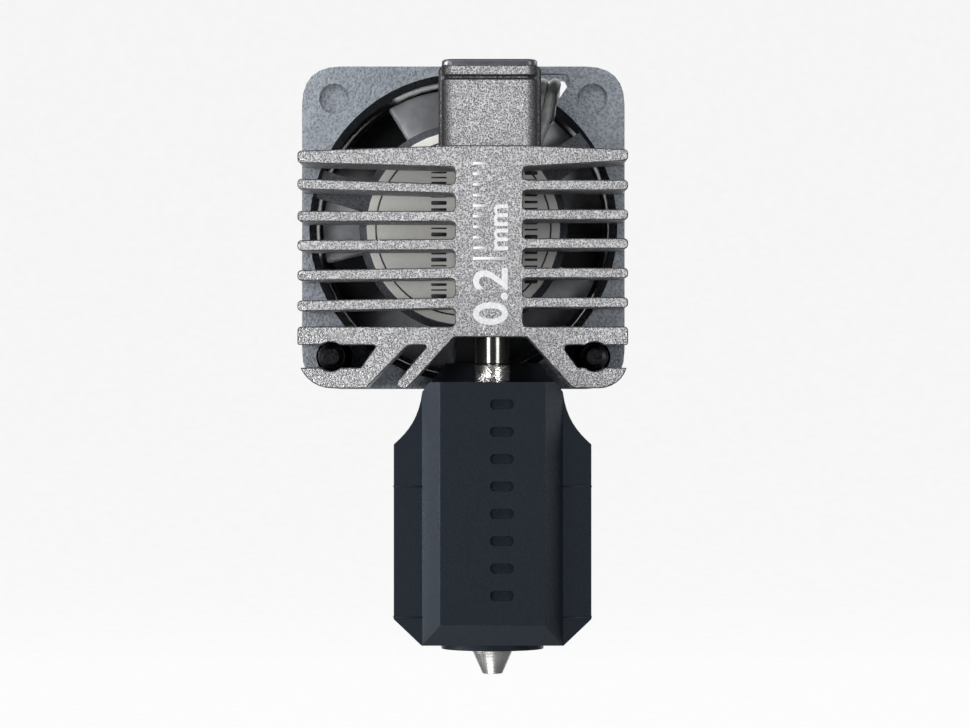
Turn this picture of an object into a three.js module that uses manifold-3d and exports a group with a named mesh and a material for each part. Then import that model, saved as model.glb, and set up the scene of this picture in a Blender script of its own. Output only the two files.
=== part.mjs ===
// Hotend assembly of a desktop 3-D printer, in millimetres, +Z up, front towards -Y.
// X = 0 is the filament axis, Y = 0 the front face of the heatsink, Z = 0 the height of the fan's axis.
import * as THREE from 'three';
import { mergeVertices } from 'three/addons/utils/BufferGeometryUtils.js';
import Module from 'manifold-3d';

const wasm = await Module();
wasm.setup();

// ---- Driving dimensions ----
const FAN_SIDE = 25; // standard 25 x 25 x 10 mm axial fan
const FAN_DEPTH = 10;
const FAN_CORNER = 10; // from the fan's axis to its screws, so 20 mm from screw to screw
const FAN_X = -2.25; // the fan sits a little left of the filament axis
const SINK_DEPTH = 9;
const FILAMENT_Y = 3.4; // depth of the filament axis
const FIN_THICKNESS = 0.8;
const WEB_LEFT = -2.84;
const WEB_RIGHT = 2.3;
const SINK_LEFT = FAN_X - FAN_SIDE / 2;
const SINK_RIGHT = FAN_X + FAN_SIDE / 2;
const SINK_BOTTOM = -FAN_SIDE / 2 + 0.1;
const COLUMN_TOP = 12.55;
const BORE_RADIUS = 1.72;
const FILAMENT_RADIUS = 0.95; // bore for 1.75 mm filament
const NECK_TOP = -8.3;
const NECK_JOINT = -10.55; // where the polished tube meets the plated sleeve
const BLOCK_TOP = -12.2;
const BLOCK_SHOULDER = -17.4;
const BLOCK_BOTTOM = -30.2;
const NOZZLE_TIP = -34.16;
const SOCK_HALF_WIDTH = 7.45;
const SOCK_BOTTOM = -31.8;

const FAN_FRONT = SINK_DEPTH;
const FAN_BACK = FAN_FRONT + FAN_DEPTH;
const DUCT_RADIUS = 11.4;
const REAR_LIP_FRONT = FAN_BACK - 0.7; // a thin lip behind the blades closes the gap round their tips
const REAR_LIP_RADIUS = 10.75;
const HUB_PLATE_RADIUS = 8.1;
const HUB_PLATE_FRONT = FAN_FRONT + 0.3;
const HUB_PLATE_BACK = FAN_FRONT + 1.3;
const STRUT_ANGLES = [163, 34, -78];
const HUB_RADIUS = 7.6;
const BLADE_COUNT = 5;
const BLADE_TIP_RADIUS = 11.0;
const BLADE_FRONT = FAN_FRONT + 2.4;
const BLADE_BACK = FAN_BACK - 0.9;
const LEAD_DIAMETER = 0.9;

// Fins from the top down: height of the middle at the web and at the tip.
const LEFT_FINS = [
  { root: 5.15, tip: 5.1, rootThickness: 1.64, tipThickness: 0.95 },
  { root: 2.68, tip: 3.06 },
  { root: 0.61, tip: 0.61 },
  { root: -1.53, tip: -1.6 },
  { root: -3.68, tip: -3.87 },
  { root: -5.94, tip: -6.17 },
];
const RIGHT_FINS = [
  { root: 5.15, tip: 5.24, rootThickness: 1.6, tipThickness: 0.85 },
  { root: 2.97, tip: 2.97 },
  { root: 0.74, tip: 0.74 },
  { root: -1.45, tip: -1.45 },
  { root: -3.68, tip: -3.68 },
  { root: -5.91, tip: -5.91 },
];

// ---- Solids: helpers that join and cut ----
function withoutFlatTriangles(index) {
  const kept = [];
  for (let i = 0; i < index.length; i += 3) {
    const [a, b, c] = [index[i], index[i + 1], index[i + 2]];
    if (a !== b && b !== c && c !== a) kept.push(a, b, c);
  }
  return kept;
}

// A geometry with shared vertices. One without normals has been cut, joined or made that way already.
function closed(geometry) {
  if (!geometry.attributes.normal) return geometry;
  const bare = geometry.clone();
  bare.deleteAttribute('normal');
  bare.deleteAttribute('uv');
  const merged = mergeVertices(bare, 1e-4);
  merged.setIndex(withoutFlatTriangles(merged.index.array));
  return merged;
}

function toSolid(geometry) {
  const merged = closed(geometry);
  return new wasm.Manifold(new wasm.Mesh({
    numProp: 3,
    vertProperties: Float32Array.from(merged.attributes.position.array),
    triVerts: Uint32Array.from(merged.index.array),
  }));
}

function toGeometry(solid) {
  const mesh = solid.getMesh();
  const geometry = new THREE.BufferGeometry();
  geometry.setAttribute('position', new THREE.BufferAttribute(mesh.vertProperties, 3));
  geometry.setIndex(new THREE.BufferAttribute(mesh.triVerts, 1));
  return geometry;
}

const join = (...parts) => toGeometry(parts.map(toSolid).reduce((sum, part) => sum.add(part)));
const cut = (body, ...tools) =>
  toGeometry(tools.map(toSolid).reduce((rest, tool) => rest.subtract(tool), toSolid(body)));
const common = (a, b) => toGeometry(toSolid(a).intersect(toSolid(b)));

// ---- Shapes ----
// An outline from corners [u, v, radius]; a corner with a radius is rounded.
function outline(corners) {
  const shape = new THREE.Shape();
  corners.forEach(([u, v, radius = 0], i) => {
    const corner = new THREE.Vector2(u, v);
    const before = corners[(i + corners.length - 1) % corners.length];
    const after = corners[(i + 1) % corners.length];
    const back = new THREE.Vector2(before[0], before[1]).sub(corner).normalize();
    const ahead = new THREE.Vector2(after[0], after[1]).sub(corner).normalize();
    const trim = radius / Math.tan(Math.acos(back.dot(ahead)) / 2);
    const start = corner.clone().addScaledVector(back, trim);
    const end = corner.clone().addScaledVector(ahead, trim);
    if (i === 0) shape.moveTo(start.x, start.y);
    else shape.lineTo(start.x, start.y);
    if (radius > 0) shape.quadraticCurveTo(corner.x, corner.y, end.x, end.y);
  });
  shape.closePath();
  return shape;
}

const box2 = (u0, v0, u1, v1, radius = 0) =>
  outline([[u0, v0, radius], [u1, v0, radius], [u1, v1, radius], [u0, v1, radius]]);

// An outline in X and Z, solid from y0 back to y1.
function plate(shape, y0, y1, curveSegments = 4) {
  const options = { depth: y1 - y0, bevelEnabled: false, curveSegments };
  return new THREE.ExtrudeGeometry(shape, options).rotateX(Math.PI / 2).translate(0, y1, 0);
}

// An outline in X and Y, solid from z0 up to z1.
function slab(shape, z0, z1, curveSegments = 4) {
  const options = { depth: z1 - z0, bevelEnabled: false, curveSegments };
  return new THREE.ExtrudeGeometry(shape, options).translate(0, 0, z0);
}

function block(x0, x1, y0, y1, z0, z1) {
  const geometry = new THREE.BoxGeometry(x1 - x0, y1 - y0, z1 - z0);
  return geometry.translate((x0 + x1) / 2, (y0 + y1) / 2, (z0 + z1) / 2);
}

// A round solid along Y, from y0 back to y1.
function discY(radius, y0, y1, x = 0, z = 0, sides = 32) {
  const geometry = new THREE.CylinderGeometry(radius, radius, y1 - y0, sides);
  return geometry.translate(x, (y0 + y1) / 2, z);
}

// A round solid along Z at the filament axis, wide at the bottom and the top as given.
function coneZ(bottomRadius, topRadius, z0, z1, sides = 32) {
  const geometry = new THREE.CylinderGeometry(topRadius, bottomRadius, z1 - z0, sides);
  return geometry.rotateX(Math.PI / 2).translate(0, FILAMENT_Y, (z0 + z1) / 2);
}

const discZ = (radius, z0, z1, sides = 32) => coneZ(radius, radius, z0, z1, sides);

// A hollow turned part about Y: pairs [radius, y] that close on themselves.
function ringY(profile, sides = 40) {
  const points = [...profile, profile[0]].map(([radius, y]) => new THREE.Vector2(radius, y));
  return closed(new THREE.LatheGeometry(points, sides));
}

const tubeY = (outer, inner, y0, y1, sides = 40) =>
  ringY([[inner, y0], [outer, y0], [outer, y1], [inner, y1]], sides);

const aroundY = (geometry, degrees) => geometry.rotateY((-degrees * Math.PI) / 180);

// ---- Heatsink ----
function fin(webX, tipX, { root, tip, rootThickness = FIN_THICKNESS, tipThickness = FIN_THICKNESS }) {
  const roundness = 0.3;
  const shape = outline([
    [webX, root - rootThickness / 2],
    [tipX, tip - tipThickness / 2, roundness],
    [tipX, tip + tipThickness / 2, roundness],
    [webX, root + rootThickness / 2],
  ]);
  return plate(shape, 0, SINK_DEPTH);
}

function finStack() {
  const overlapIntoWeb = 0.6;
  const left = LEFT_FINS.map((row) => fin(WEB_LEFT + overlapIntoWeb, SINK_LEFT, row));
  const right = RIGHT_FINS.map((row) => fin(WEB_RIGHT - overlapIntoWeb, SINK_RIGHT, row));
  return [...left, ...right];
}

function column() {
  const front = slab(box2(-3.9, 0.3, 3.45, 7.5, 0.8), 4.6, COLUMN_TOP);
  const back = slab(box2(-4.15, 6.2, 3.75, SINK_DEPTH), 4.6, COLUMN_TOP);
  const both = join(front, back);
  const grooveBand = slab(box2(-5, -1, 5, 6.2), 11.0, 11.25);
  const grooveCore = slab(box2(-3.7, 0.5, 3.25, 6.3, 0.7), 10.9, 11.35);
  return cut(both, cut(grooveBand, grooveCore));
}

// The bar below the fins, the two feet that hold the fan's screws, and the brace between them.
function lowerFrame() {
  const bar = box2(SINK_LEFT, -9.3, SINK_RIGHT, -7.73, 0.25);
  const leftFoot = outline([
    [SINK_LEFT, -9], [SINK_LEFT, SINK_BOTTOM, 2.6], [-9.56, SINK_BOTTOM, 0.1], [-6.1, -8.75],
  ]);
  const brace = outline([
    [-7.6, SINK_BOTTOM, 0.3], [-6.39, SINK_BOTTOM, 0.3], [-2.7, -8.4], [-4.2, -8.4],
  ]);
  const rightFoot = outline([
    [6.06, SINK_BOTTOM, 0.8], [SINK_RIGHT, SINK_BOTTOM, 2.2], [SINK_RIGHT, -9], [2.5, -8.4],
  ]);
  return [bar, leftFoot, brace, rightFoot].map((shape) => plate(shape, 0, SINK_DEPTH));
}

// The slots that open to the sides, with the round lobes that the screws bite into.
function screwSlots() {
  const top = -9.12;
  const bottom = -10.84;
  const left = outline([[SINK_LEFT - 1, top], [-8.7, top, 0.15], [-9.98, bottom, 0.15], [SINK_LEFT - 1, bottom]]);
  const right = outline([[SINK_RIGHT + 1, top], [5.17, top, 0.3], [6.44, bottom, 0.3], [SINK_RIGHT + 1, bottom]]);
  const lobes = [-1, 1].map((side) => discY(1.1, -1, 10, FAN_X + side * FAN_CORNER, -FAN_CORNER));
  return [plate(left, -1, 10), plate(right, -1, 10), ...lobes];
}

function heatsink() {
  const web = plate(box2(WEB_LEFT, -8.6, WEB_RIGHT, 5.97), 0, 7.6);
  const body = join(web, column(), ...finStack(), ...lowerFrame());
  const neckNotch = plate(outline([
    [-2.9, -8.52, 0.3], [2.6, -8.52, 0.3], [6.03, SINK_BOTTOM - 0.1], [-6.5, SINK_BOTTOM - 0.1],
  ]), -1, 10);
  const bore = discZ(BORE_RADIUS, -9, 11.2);
  const inlet = discZ(FILAMENT_RADIUS + 0.05, 11, 13);
  const funnel = coneZ(FILAMENT_RADIUS, 2.1, 11.7, COLUMN_TOP + 0.1);
  return cut(body, ...screwSlots(), neckNotch, bore, inlet, funnel);
}

// ---- Hot parts on the filament axis ----
// A hollow turned part about the filament axis: pairs [radius, z].
function ringZ(profile, sides = 32) {
  const turned = profile.map(([radius, z]) => [radius, -z]).reverse();
  return ringY(turned, sides).rotateX(-Math.PI / 2).translate(0, FILAMENT_Y, 0);
}

function heatBreak() {
  const top = 11.1;
  const bottom = -22.9;
  return ringZ([
    [FILAMENT_RADIUS, bottom], [1.15, bottom], [1.15, NECK_JOINT], [1.3, NECK_JOINT],
    [1.3, NECK_TOP], [1.7, NECK_TOP], [1.7, top], [FILAMENT_RADIUS, top],
  ]);
}

const throatSleeve = () =>
  ringZ([[1.17, BLOCK_TOP + 0.02], [1.35, BLOCK_TOP + 0.02], [1.35, NECK_JOINT - 0.1], [1.17, NECK_JOINT - 0.1]]);

function heaterBlock() {
  const wide = block(-5.9, 5.9, 0.6, 6, BLOCK_BOTTOM, BLOCK_SHOULDER);
  const narrow = block(-3.9, 3.9, 0.6, 6, BLOCK_SHOULDER - 0.1, BLOCK_TOP);
  const throat = discZ(1.17, -24, -12);
  const nozzleHole = discZ(1.62, -31, -22.95);
  const sensorHole = discY(0.95, 1.2, 7, 2.6, -14.8);
  const notches = [-1, 1].map((side) => block(side > 0 ? 5.4 : -6, side > 0 ? 6 : -5.4, 1.3, 2.1, -26.1, -21.9));
  return cut(join(wide, narrow), throat, nozzleHole, sensorHole, ...notches);
}

function nozzle() {
  const orifice = 0.1;
  return ringZ([
    [orifice, NOZZLE_TIP], [0.77, NOZZLE_TIP], [1.49, -32.58], [1.75, -32.0], [1.75, BLOCK_BOTTOM - 0.02],
    [1.6, BLOCK_BOTTOM - 0.02], [1.6, -22.97], [FILAMENT_RADIUS, -22.97], [FILAMENT_RADIUS, -33], [orifice, -33.5],
  ]);
}

const ceramicHeater = () => plate(box2(-5, -29, 5, -19, 0.3), 6.08, 7.2);
const heaterTerminal = (x) => block(x - 0.9, x + 0.9, 6.5, 6.8, -18.98, -17.4);
const thermistor = () => discY(0.9, 1.3, 6.9, 2.6, -14.8, 24);

function heaterClip() {
  const outer = 6.15;
  const inner = 5.95;
  return slab(outline([
    [-outer, 7.45, 0.3], [-outer, 1.5], [-5.5, 1.5], [-5.5, 1.7], [-inner, 1.7], [-inner, 7.23],
    [inner, 7.23], [inner, 1.7], [5.5, 1.7], [5.5, 1.5], [outer, 1.5], [outer, 7.45, 0.3],
  ]), -26, -22);
}

// ---- Silicone sock ----
const SOCK_FRONT = -2.6;
const SOCK_PANEL_FRONT = -0.9;
const SOCK_BACK = 8.5;
const FACET_TOP = -11.92;

function sockOutline() {
  const shape = new THREE.Shape();
  shape.moveTo(-3.6, -10.5);
  shape.lineTo(-5.3, -12.65);
  shape.bezierCurveTo(-5.55, -14.6, -6.3, -15.6, -SOCK_HALF_WIDTH, -16.62);
  shape.lineTo(-SOCK_HALF_WIDTH, -29.8);
  shape.lineTo(-5.35, SOCK_BOTTOM);
  shape.lineTo(5.35, SOCK_BOTTOM);
  shape.lineTo(SOCK_HALF_WIDTH, -29.8);
  shape.lineTo(SOCK_HALF_WIDTH, -16.62);
  shape.bezierCurveTo(6.3, -15.6, 5.55, -14.6, 5.3, -12.65);
  shape.lineTo(3.6, -10.5);
  return shape;
}

function siliconeSock() {
  const panels = plate(sockOutline(), SOCK_PANEL_FRONT, SOCK_BACK, 8);
  const facetPlan = outline([
    [-5.3, 0], [-5.3, SOCK_PANEL_FRONT - 0.05], [-3.95, SOCK_FRONT],
    [3.95, SOCK_FRONT], [5.3, SOCK_PANEL_FRONT - 0.05], [5.3, 0],
  ]);
  const facet = common(slab(facetPlan, SOCK_BOTTOM, -10.5), plate(sockOutline(), SOCK_FRONT - 1, 1, 8));
  const chamfer = new THREE.ExtrudeGeometry(
    outline([[-4, -33], [SOCK_PANEL_FRONT, -33], [SOCK_PANEL_FRONT, SOCK_BOTTOM], [SOCK_FRONT, -30.2], [-4, -28.88]]),
    { depth: 20, bevelEnabled: false },
  ).rotateZ(Math.PI / 2).rotateY(Math.PI / 2).translate(-10, 0, 0);
  const collar = discZ(3.9, SOCK_BOTTOM - 0.45, SOCK_BOTTOM + 0.2, 40);
  const shell = join(cut(join(panels, facet), chamfer), collar);
  const openFront = block(-9, 9, -4, 7.5, FACET_TOP, -9);
  const cavity = block(-6.25, 6.25, 0.3, 7.5, -30.5, -9);
  const pocket = block(-4.1, 4.1, -1.4, 0.5, -30, -9);
  const nozzleHole = discZ(2, -33, -30);
  const leadWindow = block(-2.6, 2.6, 7, 9, -17, -14);
  return cut(shell, openFront, cavity, pocket, nozzleHole, leadWindow);
}

// ---- Fan: fixed parts ----
function fanSquare(y0, y1) {
  const half = FAN_SIDE / 2;
  return plate(box2(FAN_X - half, -half, FAN_X + half, half, 3), y0, y1, 6);
}

function wireCutOut() {
  const shape = outline([
    [1.5, 11.95], [1.5, 10.3], [4.9, 8.6], [5.0, 9.75, 0.1], [6.05, 11.3, 0.3], [5.75, 11.95, 0.3],
  ]);
  return plate(shape, FAN_FRONT - 1, FAN_BACK + 1);
}

function strut(degrees) {
  const reach = block(HUB_PLATE_RADIUS - 1, DUCT_RADIUS + 0.6, HUB_PLATE_FRONT, HUB_PLATE_BACK + 0.2, -1.1, 1.1);
  return aroundY(reach, degrees).translate(FAN_X, 0, 0);
}

function fanFrame() {
  const flange = 2;
  const front = fanSquare(FAN_FRONT, FAN_FRONT + flange);
  const back = fanSquare(FAN_BACK - flange, FAN_BACK);
  const barrel = common(fanSquare(FAN_FRONT + 1, FAN_BACK - 1), discY(12.55, FAN_FRONT, FAN_BACK, FAN_X, 0, 64));
  const corners = [[-1, -1], [1, -1], [-1, 1], [1, 1]];
  const bosses = corners.map(([u, v]) =>
    discY(2.1, FAN_FRONT + 1, FAN_BACK - 1, FAN_X + u * FAN_CORNER, v * FAN_CORNER, 24));
  const shell = join(front, back, barrel, ...bosses);
  const duct = discY(DUCT_RADIUS, FAN_FRONT - 1, REAR_LIP_FRONT, FAN_X, 0, 64);
  const outlet = discY(REAR_LIP_RADIUS, FAN_FRONT, FAN_BACK + 1, FAN_X, 0, 64);
  const mouth = new THREE.CylinderGeometry(DUCT_RADIUS, 11.95, 0.6, 64).translate(FAN_X, FAN_FRONT + 0.29, 0);
  const holes = corners.slice(0, 2).map(([u, v]) =>
    discY(1.4, FAN_FRONT - 1, FAN_BACK + 1, FAN_X + u * FAN_CORNER, v * FAN_CORNER, 24));
  const dimples = corners.slice(2).map(([u, v]) =>
    discY(1.18, FAN_FRONT - 1, FAN_FRONT + 0.4, FAN_X + u * FAN_CORNER, v * FAN_CORNER, 24));
  const open = cut(shell, duct, outlet, mouth, wireCutOut(), ...holes, ...dimples);
  const hubChamfer = 0.7;
  const hubRim = new THREE.CylinderGeometry(HUB_PLATE_RADIUS, 7.6, hubChamfer, 48)
    .translate(FAN_X, HUB_PLATE_FRONT + hubChamfer / 2, 0);
  const hubBack = discY(HUB_PLATE_RADIUS, HUB_PLATE_FRONT + hubChamfer - 0.01, HUB_PLATE_BACK, FAN_X, 0, 48);
  const hubPlate = join(hubRim, hubBack);
  const wireSlot = plate(outline([[0.7, 3.7], [2.7, 2.9], [4.4, 7.6], [2.2, 8.6]]), FAN_FRONT, FAN_FRONT + 2);
  return cut(join(open, hubPlate, ...STRUT_ANGLES.map(strut)), wireSlot);
}

const fanLabel = () => discY(7.5, HUB_PLATE_FRONT - 0.1, HUB_PLATE_FRONT - 0.01, FAN_X, 0, 48);
const bearingTube = () => tubeY(2.4, 2, HUB_PLATE_BACK + 0.01, 16.8, 24).translate(FAN_X, 0, 0);
const sleeveBearing = () => tubeY(1.98, 0.79, 11.5, 16.4, 24).translate(FAN_X, 0, 0);

function circuitBoard() {
  const board = tubeY(6.3, 2.45, HUB_PLATE_BACK + 0.1, HUB_PLATE_BACK + 0.7).translate(FAN_X, 0, 0);
  return board;
}

const hallSensor = () =>
  aroundY(block(4.5, 5.5, 11.02, 11.5, -0.8, 0.8), -20).translate(FAN_X, 0, 0);

const CORE_FRONT = 12.6;
const CORE_BACK = 15.6;

function statorCore() {
  const ring = tubeY(3.2, 2.42, CORE_FRONT, CORE_BACK, 24);
  const arms = [0, 90, 180, 270].map((angle) =>
    aroundY(block(3.0, 5.2, CORE_FRONT, CORE_BACK, -0.55, 0.55), angle));
  const rim = tubeY(5.55, 5.0, CORE_FRONT, CORE_BACK, 40);
  const gaps = [45, 135, 225, 315].map((angle) =>
    aroundY(block(4, 7, CORE_FRONT - 1, CORE_BACK + 1, -0.9, 0.9), angle));
  return join(ring, ...arms, cut(rim, ...gaps)).translate(FAN_X, 0, 0);
}

function coil(angle) {
  const winding = block(3.4, 4.7, 11.9, 16.3, -1.3, 1.3);
  const core = block(3, 5, CORE_FRONT - 0.05, CORE_BACK + 0.05, -0.6, 0.6);
  return aroundY(cut(winding, core), angle).translate(FAN_X, 0, 0);
}

function fanScrew(x) {
  const head = new THREE.CylinderGeometry(1.5, 2, 1.3, 24).translate(0, FAN_BACK + 0.67, 0);
  const shank = new THREE.CylinderGeometry(0.95, 0.95, FAN_BACK - 2.4, 16).translate(0, (FAN_BACK + 2.6) / 2, 0);
  const tip = new THREE.CylinderGeometry(0.95, 0.6, 1.2, 16).translate(0, 2.0, 0);
  const arms = [block(-1.1, 1.1, 19.9, 21, -0.18, 0.18), block(-0.18, 0.18, 19.9, 21, -1.1, 1.1)];
  return cut(join(head, shank, tip), ...arms).translate(x, 0, -FAN_CORNER);
}

// ---- Fan: rotor ----
// A curved sheet with a thickness along Y: point(u, v) gives its middle, u and v from 0 to 1.
function thickSheet(point, thickness, uSteps, vSteps) {
  const positions = [];
  for (const side of [-0.5, 0.5]) {
    for (let i = 0; i <= uSteps; i += 1) {
      for (let j = 0; j <= vSteps; j += 1) {
        const middle = point(i / uSteps, j / vSteps);
        positions.push(middle.x, middle.y + side * thickness, middle.z);
      }
    }
  }
  const layer = (uSteps + 1) * (vSteps + 1);
  const at = (side, i, j) => side * layer + i * (vSteps + 1) + j;
  const index = [];
  const quad = (a, b, c, d) => index.push(a, b, c, a, c, d);
  for (let i = 0; i < uSteps; i += 1) {
    for (let j = 0; j < vSteps; j += 1) {
      quad(at(0, i, j), at(0, i + 1, j), at(0, i + 1, j + 1), at(0, i, j + 1));
      quad(at(1, i, j), at(1, i, j + 1), at(1, i + 1, j + 1), at(1, i + 1, j));
    }
  }
  for (let i = 0; i < uSteps; i += 1) {
    quad(at(0, i, 0), at(1, i, 0), at(1, i + 1, 0), at(0, i + 1, 0));
    quad(at(0, i, vSteps), at(0, i + 1, vSteps), at(1, i + 1, vSteps), at(1, i, vSteps));
  }
  for (let j = 0; j < vSteps; j += 1) {
    quad(at(0, 0, j), at(0, 0, j + 1), at(1, 0, j + 1), at(1, 0, j));
    quad(at(0, uSteps, j), at(1, uSteps, j), at(1, uSteps, j + 1), at(0, uSteps, j + 1));
  }
  const geometry = new THREE.BufferGeometry();
  geometry.setAttribute('position', new THREE.Float32BufferAttribute(positions, 3));
  geometry.setIndex(index);
  return geometry;
}

function blade(number) {
  const spread = 76;
  const frontEdge = 122 + (360 / BLADE_COUNT) * number;
  return thickSheet((u, v) => {
    const angle = THREE.MathUtils.degToRad(frontEdge - spread * u);
    const radius = THREE.MathUtils.lerp(HUB_RADIUS - 0.3, BLADE_TIP_RADIUS, v);
    const y = THREE.MathUtils.lerp(BLADE_FRONT + 0.3, BLADE_BACK - 0.3, u);
    return new THREE.Vector3(radius * Math.cos(angle), y, radius * Math.sin(angle));
  }, 0.55, 9, 2);
}

function impeller() {
  const wall = FAN_FRONT + 2;
  const cup = ringY([
    [0.77, 17.0], [1.7, 17.0], [1.7, 17.9], [7.0, 17.9], [7.0, wall], [HUB_RADIUS, wall],
    [HUB_RADIUS, 18.2], [7.2, FAN_BACK - 0.4], [0.77, FAN_BACK - 0.4],
  ], 48);
  const blades = Array.from({ length: BLADE_COUNT }, (_, number) => blade(number));
  return join(cup, ...blades).translate(FAN_X, 0, 0);
}

const rotorCup = () => tubeY(6.95, 6.55, 11.5, 17.6).translate(FAN_X, 0, 0);
const rotorMagnet = () => tubeY(6.53, 5.9, 11.8, 17.0).translate(FAN_X, 0, 0);
const fanShaft = () => discY(0.75, 10.8, FAN_BACK - 0.5, FAN_X, 0, 24);
const retainingClip = () => tubeY(1.3, 0.77, 11.0, 11.2, 24).translate(FAN_X, 0, 0);

// ---- Fan lead and its connector ----
const LEAD_ROUTES = {
  fan_lead_a: [
    [2.35, 9.85, 3.9], [2.9, 9.85, 5.2], [3.4, 9.85, 6.4], [3.85, 10.0, 7.7], [4.3, 10.25, 9.1],
    [4.6, 10.8, 10.4], [4.85, 12.0, 11.2], [4.95, 13.8, 11.4], [4.95, 15.8, 11.35], [4.95, 17.8, 11.25],
    [4.95, 19.4, 10.9], [4.9, 20.6, 9.9], [4.75, 21.1, 8.2], [4.5, 21.2, 5.5], [4.15, 21.2, 2.5],
    [3.75, 21.2, -1], [3.3, 21.15, -5], [2.85, 21.1, -9], [2.4, 21.05, -13], [2.0, 21.0, -17],
    [1.7, 21.0, -21], [1.6, 21.0, -25.1],
  ],
  fan_lead_b: [
    [1.4, 9.85, 4.2], [1.95, 9.85, 5.5], [2.45, 9.9, 6.7], [3.0, 10.2, 7.8], [3.45, 10.4, 9.1],
    [3.8, 10.95, 10.3], [3.95, 12.1, 11.2], [4.0, 13.8, 11.4], [4.0, 15.8, 11.35], [4.0, 17.8, 11.25],
    [4.0, 19.4, 10.9], [3.9, 20.6, 9.9], [3.7, 21.1, 8.2], [3.4, 21.2, 5.5], [3.0, 21.2, 2.5],
    [2.55, 21.2, -1], [2.05, 21.15, -5], [1.55, 21.1, -9], [1.1, 21.05, -13], [0.7, 21.0, -17],
    [0.45, 21.0, -21], [0.4, 21.0, -25.1],
  ],
};

function lead(route) {
  const path = new THREE.CatmullRomCurve3(route.map((point) => new THREE.Vector3(...point)), false, 'centripetal');
  const section = new THREE.Shape();
  const sides = 8;
  for (let i = 0; i < sides; i += 1) {
    const angle = (2 * Math.PI * i) / sides;
    const [u, v] = [Math.cos(angle), Math.sin(angle)].map((value) => (value * LEAD_DIAMETER) / 2);
    if (i === 0) section.moveTo(u, v);
    else section.lineTo(u, v);
  }
  section.closePath();
  return new THREE.ExtrudeGeometry(section, { steps: 40, bevelEnabled: false, extrudePath: path });
}

const CONNECTOR_TOP = -25.4;

function connectorHousing() {
  const shell = slab(box2(-1.3, 19.6, 3.3, 22.4, 0.3), CONNECTOR_TOP - 5.6, CONNECTOR_TOP);
  const bores = [1.6, 0.4].map((x) => block(x - 0.45, x + 0.45, 20.5, 21.5, CONNECTOR_TOP - 6, CONNECTOR_TOP + 1));
  const latch = block(0.1, 1.9, 22.3, 22.8, CONNECTOR_TOP - 4.2, CONNECTOR_TOP - 1.2);
  return cut(join(shell, latch), ...bores);
}

const connectorContact = (x) =>
  block(x - 0.35, x + 0.35, 20.65, 21.35, CONNECTOR_TOP - 4.8, CONNECTOR_TOP - 0.3);

// ---- Assembly ----
const FINISHES = {
  castAluminium: { color: 0x96939a, roughness: 0.55, metalness: 0.9 },
  steel: { color: 0xb4b1ac, roughness: 0.3, metalness: 1 },
  plated: { color: 0xd6d2cb, roughness: 0.45, metalness: 1 },
  darkMetal: { color: 0x55504a, roughness: 0.5, metalness: 0.9 },
  ceramic: { color: 0xe8e6df, roughness: 0.6, metalness: 0 },
  silicone: { color: 0x22262b, roughness: 0.7, metalness: 0 },
  framePlastic: { color: 0x3b4046, roughness: 0.6, metalness: 0 },
  glossPlastic: { color: 0x15171a, roughness: 0.15, metalness: 0 },
  paper: { color: 0xc9c6bd, roughness: 0.4, metalness: 0 },
  bronze: { color: 0x8a6b3f, roughness: 0.5, metalness: 1 },
  magnet: { color: 0x2f2b28, roughness: 0.7, metalness: 0.2 },
  copper: { color: 0xb06a3a, roughness: 0.35, metalness: 1 },
  board: { color: 0x2f5d3a, roughness: 0.5, metalness: 0 },
  blackSteel: { color: 0x1d1d1f, roughness: 0.45, metalness: 0.6 },
  leadGrey: { color: 0x6f736f, roughness: 0.5, metalness: 0 },
  connector: { color: 0xe3e0d6, roughness: 0.5, metalness: 0 },
};

const hotend = new THREE.Group();
const rotor = new THREE.Group();
hotend.add(rotor);

function addPiece(group, name, geometry, finish) {
  const mesh = new THREE.Mesh(geometry, new THREE.MeshStandardMaterial(FINISHES[finish]));
  mesh.name = name;
  group.add(mesh);
}

addPiece(hotend, 'heatsink', heatsink(), 'castAluminium');
addPiece(hotend, 'heat_break', heatBreak(), 'steel');
addPiece(hotend, 'throat_sleeve', throatSleeve(), 'plated');
addPiece(hotend, 'heater_block', heaterBlock(), 'darkMetal');
addPiece(hotend, 'nozzle', nozzle(), 'steel');
addPiece(hotend, 'ceramic_heater', ceramicHeater(), 'ceramic');
addPiece(hotend, 'heater_terminal_left', heaterTerminal(-2.2), 'plated');
addPiece(hotend, 'heater_terminal_right', heaterTerminal(2.2), 'plated');
addPiece(hotend, 'thermistor', thermistor(), 'steel');
addPiece(hotend, 'heater_clip', heaterClip(), 'steel');
addPiece(hotend, 'silicone_sock', siliconeSock(), 'silicone');
addPiece(hotend, 'fan_frame', fanFrame(), 'framePlastic');
addPiece(hotend, 'fan_label', fanLabel(), 'paper');
addPiece(hotend, 'bearing_tube', bearingTube(), 'bronze');
addPiece(hotend, 'sleeve_bearing', sleeveBearing(), 'bronze');
addPiece(hotend, 'circuit_board', circuitBoard(), 'board');
addPiece(hotend, 'hall_sensor', hallSensor(), 'blackSteel');
addPiece(hotend, 'stator_core', statorCore(), 'darkMetal');
[0, 90, 180, 270].forEach((angle, i) => addPiece(hotend, `stator_coil_${i + 1}`, coil(angle), 'copper'));
addPiece(hotend, 'fan_screw_left', fanScrew(FAN_X - FAN_CORNER), 'blackSteel');
addPiece(hotend, 'fan_screw_right', fanScrew(FAN_X + FAN_CORNER), 'blackSteel');
addPiece(rotor, 'impeller', impeller(), 'glossPlastic');
addPiece(rotor, 'rotor_cup', rotorCup(), 'steel');
addPiece(rotor, 'rotor_magnet', rotorMagnet(), 'magnet');
addPiece(rotor, 'fan_shaft', fanShaft(), 'steel');
addPiece(rotor, 'retaining_clip', retainingClip(), 'blackSteel');
Object.entries(LEAD_ROUTES).forEach(([name, route]) => addPiece(hotend, name, lead(route), 'leadGrey'));
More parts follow.
